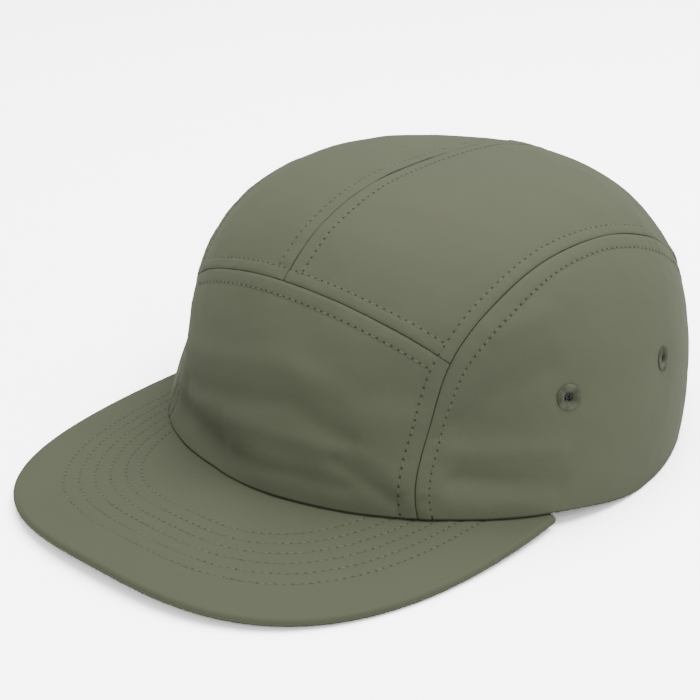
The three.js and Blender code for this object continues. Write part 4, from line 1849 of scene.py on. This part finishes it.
@dataclass
class Clasp:
    """The moulded clasp that the strap runs through."""

    bands: Bands
    plastic: Material
    length: float = 0.026
    low: float = 0.0003
    high: float = 0.026
    outer_depth: float = -0.00035
    inner_depth: float = 0.00505
    slot_low: float = 0.0027
    slot_high: float = 0.0233
    slot_outer: float = 0.00135
    slot_inner: float = 0.00335
    rib_count: int = 5
    rib_step: float = 0.0027
    rib_size: tuple[float, float, float] = (0.0007, 0.0006, 0.0085)
    slot_rim: float = 0.0004
    edge_round: float = 0.0005
    sharp_angle: float = 0.6
    bends: int = 25

    def block(self) -> Draft:
        """A flat block with a slot from end to end, with its edges rounded."""
        bm = bmesh.new()
        bmesh.ops.create_cube(bm, size=1.0)
        depth, tall = self.inner_depth - self.outer_depth, self.high - self.low
        middle_depth, middle_tall = (self.inner_depth + self.outer_depth) / 2, (self.high + self.low) / 2
        bmesh.ops.scale(bm, vec=(self.length, depth, tall), verts=bm.verts[:])
        bmesh.ops.translate(bm, vec=(0, middle_depth, middle_tall), verts=bm.verts[:])
        ends = [face for face in bm.faces if abs(face.normal.x) > 0.9]
        bmesh.ops.inset_individual(bm, faces=ends, thickness=self.slot_rim, use_even_offset=True)
        for face in ends:
            for vert in face.verts:
                vert.co.y = self.slot_outer if vert.co.y < middle_depth else self.slot_inner
                vert.co.z = self.slot_low if vert.co.z < middle_tall else self.slot_high
        rims = [edge for face in ends for edge in face.edges]
        bmesh.ops.delete(bm, geom=ends, context="FACES_ONLY")
        bmesh.ops.bridge_loops(bm, edges=rims)
        Meshes.face_out(bm)
        bmesh.ops.bevel(
            bm,
            geom=Meshes.sharp_edges(bm, self.sharp_angle),
            offset=self.edge_round,
            affect="EDGES",
            segments=3,
            profile=0.5,
            material=-1,
            clamp_overlap=True,
        )
        runs = {edge: edge.verts[0].co - edge.verts[1].co for edge in bm.edges}
        long_edges = [edge for edge, run in runs.items() if abs(run.x) > self.length / 2]
        bmesh.ops.subdivide_edges(bm, edges=long_edges, cuts=self.bends, use_grid_fill=True)
        return bm

    def ribs(self, bm: Draft) -> None:
        """Adds the raised grip ribs, half sunk in the outer face."""
        middle = (self.high + self.low) / 2
        for number in range(self.rib_count):
            x = (number - (self.rib_count - 1) / 2) * self.rib_step
            place = Matrix.Translation((x, self.outer_depth + 0.0001, middle))
            seat = place @ Matrix.Diagonal((*self.rib_size, 1.0))
            bmesh.ops.create_uvsphere(bm, u_segments=16, v_segments=20, radius=1.0, matrix=seat)

    def build(self) -> Piece:
        """Bends the ribbed block to the back of the crown."""
        bm = self.block()
        self.ribs(bm)
        flat = Meshes.coordinates(bm)
        around = HALF_TURN - flat[:, 0] / self.bands.seams.skin.back_reach
        Meshes.move(bm, self.bands.place(around, flat[:, 2], flat[:, 1]))
        Meshes.face_out(bm)
        piece = Meshes.finish("strap_clasp_moulding", bm, [self.plastic], flat_above=0.9)
        return fitted(piece, "strap_clasp")


class NodeSheet:
    """Adds and joins the nodes of a material or a node group."""

    def __init__(self, tree: Tree) -> None:
        """Starts on an empty sheet.

        Args:
            tree: The node tree to fill.
        """
        self.tree = tree
        tree.nodes.clear()

    @classmethod
    def of_material(cls, name: str) -> tuple["NodeSheet", Material]:
        """The empty sheet of a new material, and the material."""
        material = bpy.data.materials.new(name)
        material.use_nodes = True
        return cls(material.node_tree), material

    def node(self, kind: str, values: dict[str | int, object] | None = None, **settings: object) -> Node:
        """Adds a node.

        Args:
            kind: Blender's name of the node.
            values: Numbers, colours or sockets for its inputs.
            settings: The node's own settings.

        Returns:
            The node.
        """
        made = self.tree.nodes.new(kind)
        for name, value in settings.items():
            setattr(made, name, value)
        for name, value in (values or {}).items():
            if isinstance(value, Socket):
                self.tree.links.new(value, made.inputs[name])
            else:
                made.inputs[name].default_value = value
        return made

    def group(self, name: str, vector: Socket, values: dict[str, float] | None = None) -> Node:
        """Adds a shared effect, at the places that a vector gives."""
        inputs = {"Vector": vector, **(values or {})}
        return self.node("ShaderNodeGroup", inputs, node_tree=bpy.data.node_groups[name])

    def map_of(self, layer: Layer) -> Socket:
        """Values of one of the maps."""
        return self.node("ShaderNodeUVMap", uv_map=layer.value).outputs[0]

    def surface(self, inputs: dict[str, object]) -> None:
        """Ends a material's sheet in its surface."""
        shader = self.node("ShaderNodeBsdfPrincipled", inputs)
        self.node("ShaderNodeOutputMaterial", {0: shader.outputs[0]})

    def greatest(self, values: Sequence[Socket]) -> Socket:
        """The greatest of some values."""
        return reduce(lambda one, other: self.math("MAXIMUM", one, other), values)

    def math(self, operation: str, *values: object) -> Socket:
        """Result of a sum on numbers or sockets."""
        return self.node("ShaderNodeMath", dict(enumerate(values)), operation=operation).outputs[0]

    def mix(self, share: object, low: object, high: object, blend: str = "MIX") -> Socket:
        """Colour between two colours."""
        made = self.node("ShaderNodeMix", {0: share, 6: low, 7: high}, data_type="RGBA", blend_type=blend)
        return made.outputs[2]

    def ramp(
        self, value: object, low: float, high: float, to_low: float = 0.0, to_high: float = 1.0
    ) -> Socket:
        """Soft step of a value from one range to another."""
        made = self.node(
            "ShaderNodeMapRange",
            {0: value, 1: low, 2: high, 3: to_low, 4: to_high},
            interpolation_type="SMOOTHSTEP",
        )
        return made.outputs[0]

    def noise(self, vector: object, scale: float, detail: float = 2.0, roughness: float = 0.5) -> Socket:
        """Uneven value from 0 to 1."""
        made = self.node(
            "ShaderNodeTexNoise",
            {"Vector": vector, "Scale": scale, "Detail": detail, "Roughness": roughness},
        )
        return made.outputs[0]


class Effect:
    """Node groups that several finishes share."""

    @staticmethod
    def new(name: str, values: dict[str, float], results: Sequence[str]) -> tuple[NodeSheet, object]:
        """Starts a node group.

        Args:
            name: Name of the group.
            values: Its numbers, which follow the vector that every group starts from.
            results: Names of the values that it gives.

        Returns:
            The group's sheet, and the sockets of what it is given.
        """
        tree = bpy.data.node_groups.new(name, "ShaderNodeTree")
        sheet = NodeSheet(tree)
        tree.interface.new_socket(name="Vector", in_out="INPUT", socket_type="NodeSocketVector")
        for label, value in values.items():
            socket = tree.interface.new_socket(name=label, in_out="INPUT", socket_type="NodeSocketFloat")
            socket.default_value = value
        for label in results:
            tree.interface.new_socket(name=label, in_out="OUTPUT", socket_type="NodeSocketFloat")
        return sheet, sheet.node("NodeGroupInput").outputs

    @classmethod
    def stitch_shade_and_dimples(cls) -> None:
        """Painted shade of a sewn seam: a dark line along it and dark needle holes at its rows, which also
        dent the bump.
        """
        sheet, given = cls.new(
            "stitch_shade_and_dimples",
            {"Row Offset": 0.0048, "Pitch": PITCH, "Hole Size": 0.00052, "Line Width": 0.00028},
            ("Line", "Holes"),
        )
        split = sheet.node("ShaderNodeSeparateXYZ", {0: given["Vector"]})
        along, away = split.outputs[0], split.outputs[1]
        beside = sheet.math("ABSOLUTE", sheet.math("SUBTRACT", away, given["Row Offset"]))
        phase = sheet.math("FRACT", sheet.math("DIVIDE", along, given["Pitch"]))
        centred = sheet.math("ABSOLUTE", sheet.math("SUBTRACT", phase, 0.5))
        to_hole = sheet.math("MULTIPLY", sheet.math("SUBTRACT", 0.5, centred), given["Pitch"])
        squares = [sheet.math("MULTIPLY", side, side) for side in (to_hole, beside)]
        span = sheet.math("SQRT", sheet.math("ADD", *squares))
        share = sheet.math("DIVIDE", span, given["Hole Size"])
        # painted shade: mask of the needle holes, darkened as the shade inside them
        holes = sheet.ramp(share, 0.25, 1.0, 1.0, 0.0)
        # painted shade: mask of a dark line along the seam, hem or peak edge, where shade falls
        line = sheet.ramp(sheet.math("DIVIDE", away, given["Line Width"]), 0.45, 1.0, 1.0, 0.0)
        sheet.node("NodeGroupOutput", {"Line": line, "Holes": holes})

    @classmethod
    def weave(cls) -> None:
        """Height of a plain weave, with uneven yarns."""
        sheet, given = cls.new("weave", {"Yarn Pitch": 0.0004, "Slant": 0.0}, ("Height",))
        split = sheet.node("ShaderNodeSeparateXYZ", {0: given["Vector"]})
        scaled = [sheet.math("DIVIDE", split.outputs[axis], given["Yarn Pitch"]) for axis in (0, 1)]
        leaning = sheet.math("ADD", scaled[0], sheet.math("MULTIPLY", scaled[1], given["Slant"]))
        warp = sheet.math("SINE", sheet.math("MULTIPLY", leaning, HALF_TURN))
        weft = sheet.math("SINE", sheet.math("MULTIPLY", scaled[1], HALF_TURN))
        over = sheet.ramp(sheet.math("MULTIPLY", warp, weft), -0.3, 0.3)
        height = sheet.math(
            "ADD",
            sheet.math("MULTIPLY", sheet.math("ABSOLUTE", warp), over),
            sheet.math("MULTIPLY", sheet.math("ABSOLUTE", weft), sheet.math("SUBTRACT", 1.0, over)),
        )
        sheet.node("NodeGroupOutput", {"Height": height})

    @classmethod
    def cloth_tone(cls) -> None:
        """Slow and fine changes of a cloth's tone."""
        sheet, given = cls.new("cloth_tone", {"Slow Scale": 22.0, "Fine Scale": 900.0}, ("Tone", "Grain"))
        vector = given["Vector"]
        slow = sheet.noise(vector, given["Slow Scale"], 3.0, 0.45)
        fine = sheet.noise(vector, given["Fine Scale"], 2.0, 0.6)
        tone = sheet.math("ADD", sheet.math("MULTIPLY", slow, 0.72), sheet.math("MULTIPLY", fine, 0.28))
        sheet.node("NodeGroupOutput", {"Tone": tone, "Grain": fine})


@dataclass(frozen=True)
class ShadeMarks:
    """Which map a cloth's painted shade follows: dark needle holes at its rows, how far these lie from the
    seam, and a dark line along it.
    """

    layer: Layer
    row_offset: float = 0.0048
    pitch: float = PITCH
    # whether a line of painted shade is drawn along the seam, hem or edge
    line: bool = True
    line_width: float = 0.00028


@dataclass(frozen=True)
class ClothFinish:
    """A woven cloth, with painted shade in the needle holes of its rows and along its seams."""

    name: str
    colour: Colour
    shademarks: tuple[ShadeMarks, ...] = ()
    spread: float = 0.10
    roughness: float = 0.8
    sheen: float = 0.15
    yarn_pitch: float = 0.0005
    slant: float = 0.0
    weave_depth: float = 0.05
    hole_depth: float = 0.9
    # painted shade: how much the needle holes and the lines are darkened
    hole_shade: float = 0.9
    line_shade: float = 0.55

    def make(self) -> Material:
        """Builds the material."""
        sheet, material = NodeSheet.of_material(self.name)
        place = sheet.node("ShaderNodeTexCoord").outputs["Object"]
        tone = sheet.group("cloth_tone", place)
        yarns = {"Yarn Pitch": self.yarn_pitch, "Slant": self.slant}
        weave = sheet.group("weave", sheet.map_of(Layer.CLOTH), yarns)
        even = sheet.ramp(tone.outputs["Tone"], 0.3, 0.7)
        low, high = (opaque(self.colour, 1 + way * self.spread / 2) for way in (-1, 1))
        colour = sheet.mix(even, low, high)
        woven = sheet.ramp(weave.outputs["Height"], 0.2, 1.0, 0.93, 1.03)
        value = sheet.node("ShaderNodeCombineColor", {0: woven, 1: woven, 2: woven}).outputs[0]
        colour = sheet.mix(1.0, colour, value, "MULTIPLY")
        groups = [
            sheet.group(
                "stitch_shade_and_dimples",
                sheet.map_of(mark.layer),
                {"Row Offset": mark.row_offset, "Pitch": mark.pitch, "Line Width": mark.line_width},
            )
            for mark in self.shademarks
        ]
        lines = [group.outputs["Line"] for group, mark in zip(groups, self.shademarks) if mark.line]
        height = sheet.math("MULTIPLY", weave.outputs["Height"], self.weave_depth)
        grain = sheet.math("MULTIPLY", tone.outputs["Grain"], self.weave_depth * 1.6)
        height = sheet.math("ADD", height, grain)
        if groups:
            # painted shade: the needle holes are darkened towards a fifth of the cloth's colour, and dented
            # in the bump
            holes = sheet.greatest([group.outputs["Holes"] for group in groups])
            share = sheet.math("MULTIPLY", holes, self.hole_shade)
            colour = sheet.mix(share, colour, opaque(self.colour, 0.22))
            height = sheet.math("SUBTRACT", height, sheet.math("MULTIPLY", holes, self.hole_depth))
        # painted shade: dark lines along the seams, the hem and the peak's edge, darkened towards a fifth of
        # the cloth's colour
        if lines:
            share = sheet.math("MULTIPLY", sheet.greatest(lines), self.line_shade)
            colour = sheet.mix(share, colour, opaque(self.colour, 0.18))
        bump = sheet.node("ShaderNodeBump", {"Strength": 0.8, "Distance": 0.0003, "Height": height})
        rough = sheet.ramp(tone.outputs["Tone"], 0.3, 0.7, self.roughness - 0.05, self.roughness + 0.05)
        sheet.surface(
            {
                "Base Color": colour,
                "Roughness": rough,
                "Normal": bump.outputs[0],
                "Sheen Weight": self.sheen,
                "Sheen Roughness": 0.45,
                "Sheen Tint": opaque(self.colour, 2.2),
                "Specular IOR Level": 0.4,
            }
        )
        material.diffuse_color = opaque(self.colour)
        return material


@dataclass(frozen=True)
class GrainFinish:
    """Sewing thread or moulded plastic, with a fine grain."""

    name: str
    colour: Colour
    roughness: float = 0.6
    spread: float = 0.22
    grain_scale: float = 2600.0
    slow_scale: float = 240.0
    grain_depth: float = 0.00008
    gloss: float = 0.5

    def make(self) -> Material:
        """Builds the material."""
        sheet, material = NodeSheet.of_material(self.name)
        place = sheet.node("ShaderNodeTexCoord").outputs["Object"]
        grain = sheet.noise(place, self.grain_scale, 2.0, 0.6)
        slow = sheet.noise(place, self.slow_scale, 2.0, 0.5)
        low, high = (opaque(self.colour, 1 + way * self.spread) for way in (-1, 1))
        bump = sheet.node("ShaderNodeBump", {"Strength": 0.6, "Distance": self.grain_depth, "Height": grain})
        sheet.surface(
            {
                "Base Color": sheet.mix(sheet.ramp(slow, 0.3, 0.7), low, high),
                "Roughness": sheet.ramp(grain, 0.2, 0.8, self.roughness - 0.06, self.roughness + 0.08),
                "Normal": bump.outputs[0],
                "Specular IOR Level": self.gloss,
            }
        )
        material.diffuse_color = opaque(self.colour)
        return material


@dataclass(frozen=True)
class Lamp:
    """A soft square lamp: where it hangs and points, its size and its power in watts."""

    name: str
    place: tuple[float, float, float]
    towards: tuple[float, float, float]
    size: float
    power: float
    colour: Colour


@dataclass
class Studio:
    """The pale floor, the soft light and the camera."""

    middle: Vector
    floor_size: float = 6.0
    floor_drop: float = 0.0002
    floor_colour: Colour = (0.90, 0.90, 0.903)
    floor_shares: tuple[float, float] = (0.985, 1.015)
    world_colour: Colour = (0.99, 0.99, 1.0)
    seen_share: float = 5.0
    world_strength: float = 0.54
    azimuth: float = math.radians(41.84)
    elevation: float = math.radians(23.43)
    sensor_width: float = 36.0
    focal: float = 1546.79
    image_width: float = 700.0
    distance: float = 0.5357
    shift: tuple[float, float] = (-0.02071, -0.01957)
    target_height: float = 0.0482
    lamps: tuple[Lamp, ...] = (
        Lamp("key", (0.12, 0.35, 1.6), (0.0, 0.0, 0.0), 1.6, 35.0, (1.0, 0.995, 0.99)),
        Lamp("fill", (1.1, -1.0, 0.8), (0.0, 0.0, 0.05), 1.2, 4.2, (1.0, 1.0, 1.0)),
    )

    def build(self) -> None:
        """Makes the floor, the lights and the camera."""
        self.floor()
        self.world()
        for lamp in self.lamps:
            self.light(lamp)
        self.camera()

    def floor(self) -> None:
        """Makes the pale floor, which the camera sees as bright as a backdrop lit on its own."""
        bm = bmesh.new()
        bmesh.ops.create_grid(bm, x_segments=12, y_segments=12, size=self.floor_size / 2)
        sheet, material = NodeSheet.of_material("pale_floor")
        place = sheet.node("ShaderNodeTexCoord").outputs["Object"]
        slow = sheet.noise(place, 1.5, 2.0, 0.5)
        low, high = (opaque(self.floor_colour, share) for share in self.floor_shares)
        colour = sheet.mix(slow, low, high)
        share = self.brighter_to_camera(sheet, 1.0)
        lit = sheet.node("ShaderNodeVectorMath", {0: colour, 3: share}, operation="SCALE")
        sheet.surface({"Base Color": lit.outputs[0], "Roughness": 0.9, "Specular IOR Level": 0.2})
        floor = Meshes.finish("studio_floor", bm, [material])
        for vert in floor.data.vertices:
            vert.co.z = -self.floor_drop

    def brighter_to_camera(self, sheet: NodeSheet, value: float) -> Socket:
        """A value that is larger where the camera itself looks at the backdrop."""
        seen = sheet.node("ShaderNodeLightPath").outputs["Is Camera Ray"]
        return sheet.ramp(seen, 0.0, 1.0, value, value * self.seen_share)

    def world(self) -> None:
        """Lights the scene evenly from all round."""
        world = bpy.data.worlds.new("studio")
        world.use_nodes = True
        sheet = NodeSheet(world.node_tree)
        strength = self.brighter_to_camera(sheet, self.world_strength)
        sky = sheet.node("ShaderNodeBackground", {0: opaque(self.world_colour), 1: strength})
        sheet.node("ShaderNodeOutputWorld", {0: sky.outputs[0]})
        bpy.context.scene.world = world

    def light(self, lamp: Lamp) -> None:
        """Hangs one of the soft square lamps."""
        light = bpy.data.lights.new(lamp.name, "AREA")
        light.shape = "SQUARE"
        light.size = lamp.size
        light.energy = lamp.power
        light.color = lamp.colour
        hung = bpy.data.objects.new(lamp.name, light)
        hung.location = Vector(lamp.place) + self.middle
        aim = Vector(lamp.towards) + self.middle - hung.location
        hung.rotation_euler = aim.to_track_quat("-Z", "Y").to_euler()
        bpy.context.scene.collection.objects.link(hung)

    def camera(self) -> None:
        """Places the camera at the photograph's angle."""
        sin_a, cos_a = math.sin(self.azimuth), math.cos(self.azimuth)
        sin_e, cos_e = math.sin(self.elevation), math.cos(self.elevation)
        back = Vector((sin_a * cos_e, -cos_a * cos_e, sin_e))
        right = Vector((cos_a, sin_a, 0.0))
        up = back.cross(right)
        target = Vector((0, 0, self.target_height)) + right * self.shift[0] + up * self.shift[1]
        seat = Matrix((right, up, back)).transposed().to_4x4()
        seat.translation = target + back * self.distance + self.middle
        data = bpy.data.cameras.new("camera")
        data.sensor_width = self.sensor_width
        data.lens = self.focal * self.sensor_width / self.image_width
        data.clip_start = 0.01
        camera = bpy.data.objects.new("camera", data)
        camera.matrix_world = seat
        bpy.context.scene.collection.objects.link(camera)
        bpy.context.scene.camera = camera


@dataclass(frozen=True)
class Finishes:
    """All finishes of the cap."""

    olive: Colour = (0.109, 0.121, 0.074)
    peak: Colour = (0.099, 0.110, 0.067)
    lining: Colour = (0.092, 0.102, 0.060)
    twill: Colour = (0.080, 0.087, 0.052)
    thread: Colour = (0.137, 0.149, 0.094)
    eyelet: Colour = (0.088, 0.098, 0.060)
    webbing: Colour = (0.087, 0.095, 0.057)
    moulding: Colour = (0.020, 0.0215, 0.0185)

    def make(self) -> dict[str, Material]:
        """Builds the shared effects and all materials."""
        Effect.stitch_shade_and_dimples()
        Effect.weave()
        Effect.cloth_tone()
        # painted shade: a dark line along each seam and dark needle holes at its rows
        side, front, centre = ShadeMarks(Layer.SIDE_SEAM), ShadeMarks(Layer.FRONT_SEAM), ShadeMarks(Layer.CENTRE_SEAM)
        # painted shade in the needle holes only
        arch = ShadeMarks(Layer.ARCH, line=False)
        on_row = ShadeMarks(Layer.HEM, 0.0, line=False)
        # painted shadow: a dark line on the cloth all along the hem, as the shade of the gap under it
        hem = ShadeMarks(Layer.HEM, 1.0, line_width=0.0009)
        # painted shade: a dark line on the lower part of the peak's rounded edge, where it turns under
        edge = ShadeMarks(Layer.EDGE, 1.0, line_width=0.0010)
        finishes = {
            "front": ClothFinish("front_cloth", self.olive, (side, front, hem)),
            "top": ClothFinish("top_cloth", self.olive, (side, front, centre, arch, hem)),
            "side": ClothFinish("side_cloth", self.olive, (side, hem)),
            "inside": ClothFinish("inside_cloth", self.lining, spread=0.08),
            "peak": ClothFinish("peak_cloth", self.peak, (on_row, edge), hole_shade=0.65, line_shade=0.9),
            "twill": ClothFinish(
                "sweatband_twill",
                self.twill,
                # painted shade in the needle holes of its rows
                (ShadeMarks(Layer.HEM, 0.0, BAND_PITCH, False),),
                roughness=0.8,
                yarn_pitch=0.0007,
                slant=1.0,
                weave_depth=0.3,
            ),
            "webbing": ClothFinish(
                "strap_webbing", self.webbing, yarn_pitch=0.0011, weave_depth=0.5, roughness=0.7
            ),
            "thread": GrainFinish("sewing_thread", self.thread),
            "eyelet": GrainFinish("eyelet_thread", self.eyelet, 0.75, 0.4),
            "moulding": GrainFinish("clasp_plastic", self.moulding, 0.5, 0.1, 3200.0, 60.0, 0.00003),
        }
        return {name: finish.make() for name, finish in finishes.items()}


@dataclass
class Cap:
    """The whole cap, built piece by piece."""

    skin: CrownSkin

    def eyelets(self) -> list[EyeletPlace]:
        """Places of the four eyelets."""
        shares = {"front": (0.392, 0.284), "rear": (0.566, 0.274)}
        return [
            EyeletPlace(f"eyelet_{name}_{side.label}", side, around, up, self.skin)
            for side in Side
            for name, (around, up) in shares.items()
        ]

    def build(self) -> None:
        """Makes all pieces of the cap."""
        looks = Finishes().make()
        shape = PeakShape(self.skin)
        seams = SeamPlan(self.skin, shape)
        eyelets = self.eyelets()
        surface = Surface(self.skin, seams, eyelets=tuple(eyelets))
        inside = looks["inside"]
        front = FrontPanel("front_panel", surface, Side.LEFT, 101, (looks["front"], inside))
        tops: dict[Side, TopPanel] = {}
        sides: dict[Side, SidePanel] = {}
        for side in Side:
            seed, cloths = 211 + side.value, (looks["top"], inside)
            tops[side] = TopPanel(f"top_panel_{side.label}", surface, side, seed, cloths)
            seed, cloths = 311 + side.value, (looks["side"], inside)
            sides[side] = SidePanel(f"side_panel_{side.label}", surface, side, seed, cloths)
        for panel in (front, *tops.values(), *sides.values()):
            report(panel.build())
        crown_rows = CrownRows(surface, front, tops, sides).build()
        report(Stitching("crown_stitching", looks["thread"], crown_rows).build())
        peak = Peak(shape, seams, looks["peak"])
        report(peak.build())
        report(Stitching("peak_stitching", looks["thread"], peak.rows(), seed=9).build())
        bands = Bands(seams)
        sweatband = Sweatband(bands, looks["twill"])
        report(sweatband.build())
        report(Stitching("sweatband_stitching", looks["thread"], sweatband.rows(), seed=12).build())
        for place in eyelets:
            report(Eyelet(place, looks["eyelet"]).build())
        report(BackStrap(bands, looks["webbing"]).build())
        report(Clasp(bands, looks["moulding"]).build())


def report(piece: Piece) -> None:
    """Logs a finished piece with its number of faces."""
    LOG.info("%s: %d faces", piece.name, len(piece.data.polygons))


def main() -> None:
    """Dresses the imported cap."""
    logging.basicConfig(level=logging.INFO, format="%(message)s")
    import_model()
    front_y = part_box("peak")[0][1]
    skin = CrownSkin()
    middle = Vector((0.0, front_y + skin.front_reach + PACKED_PROJECTION, 0.0))
    Meshes.middle = middle
    Studio(middle).build()
    Cap(skin).build()


if __name__ == "__main__":
    main()
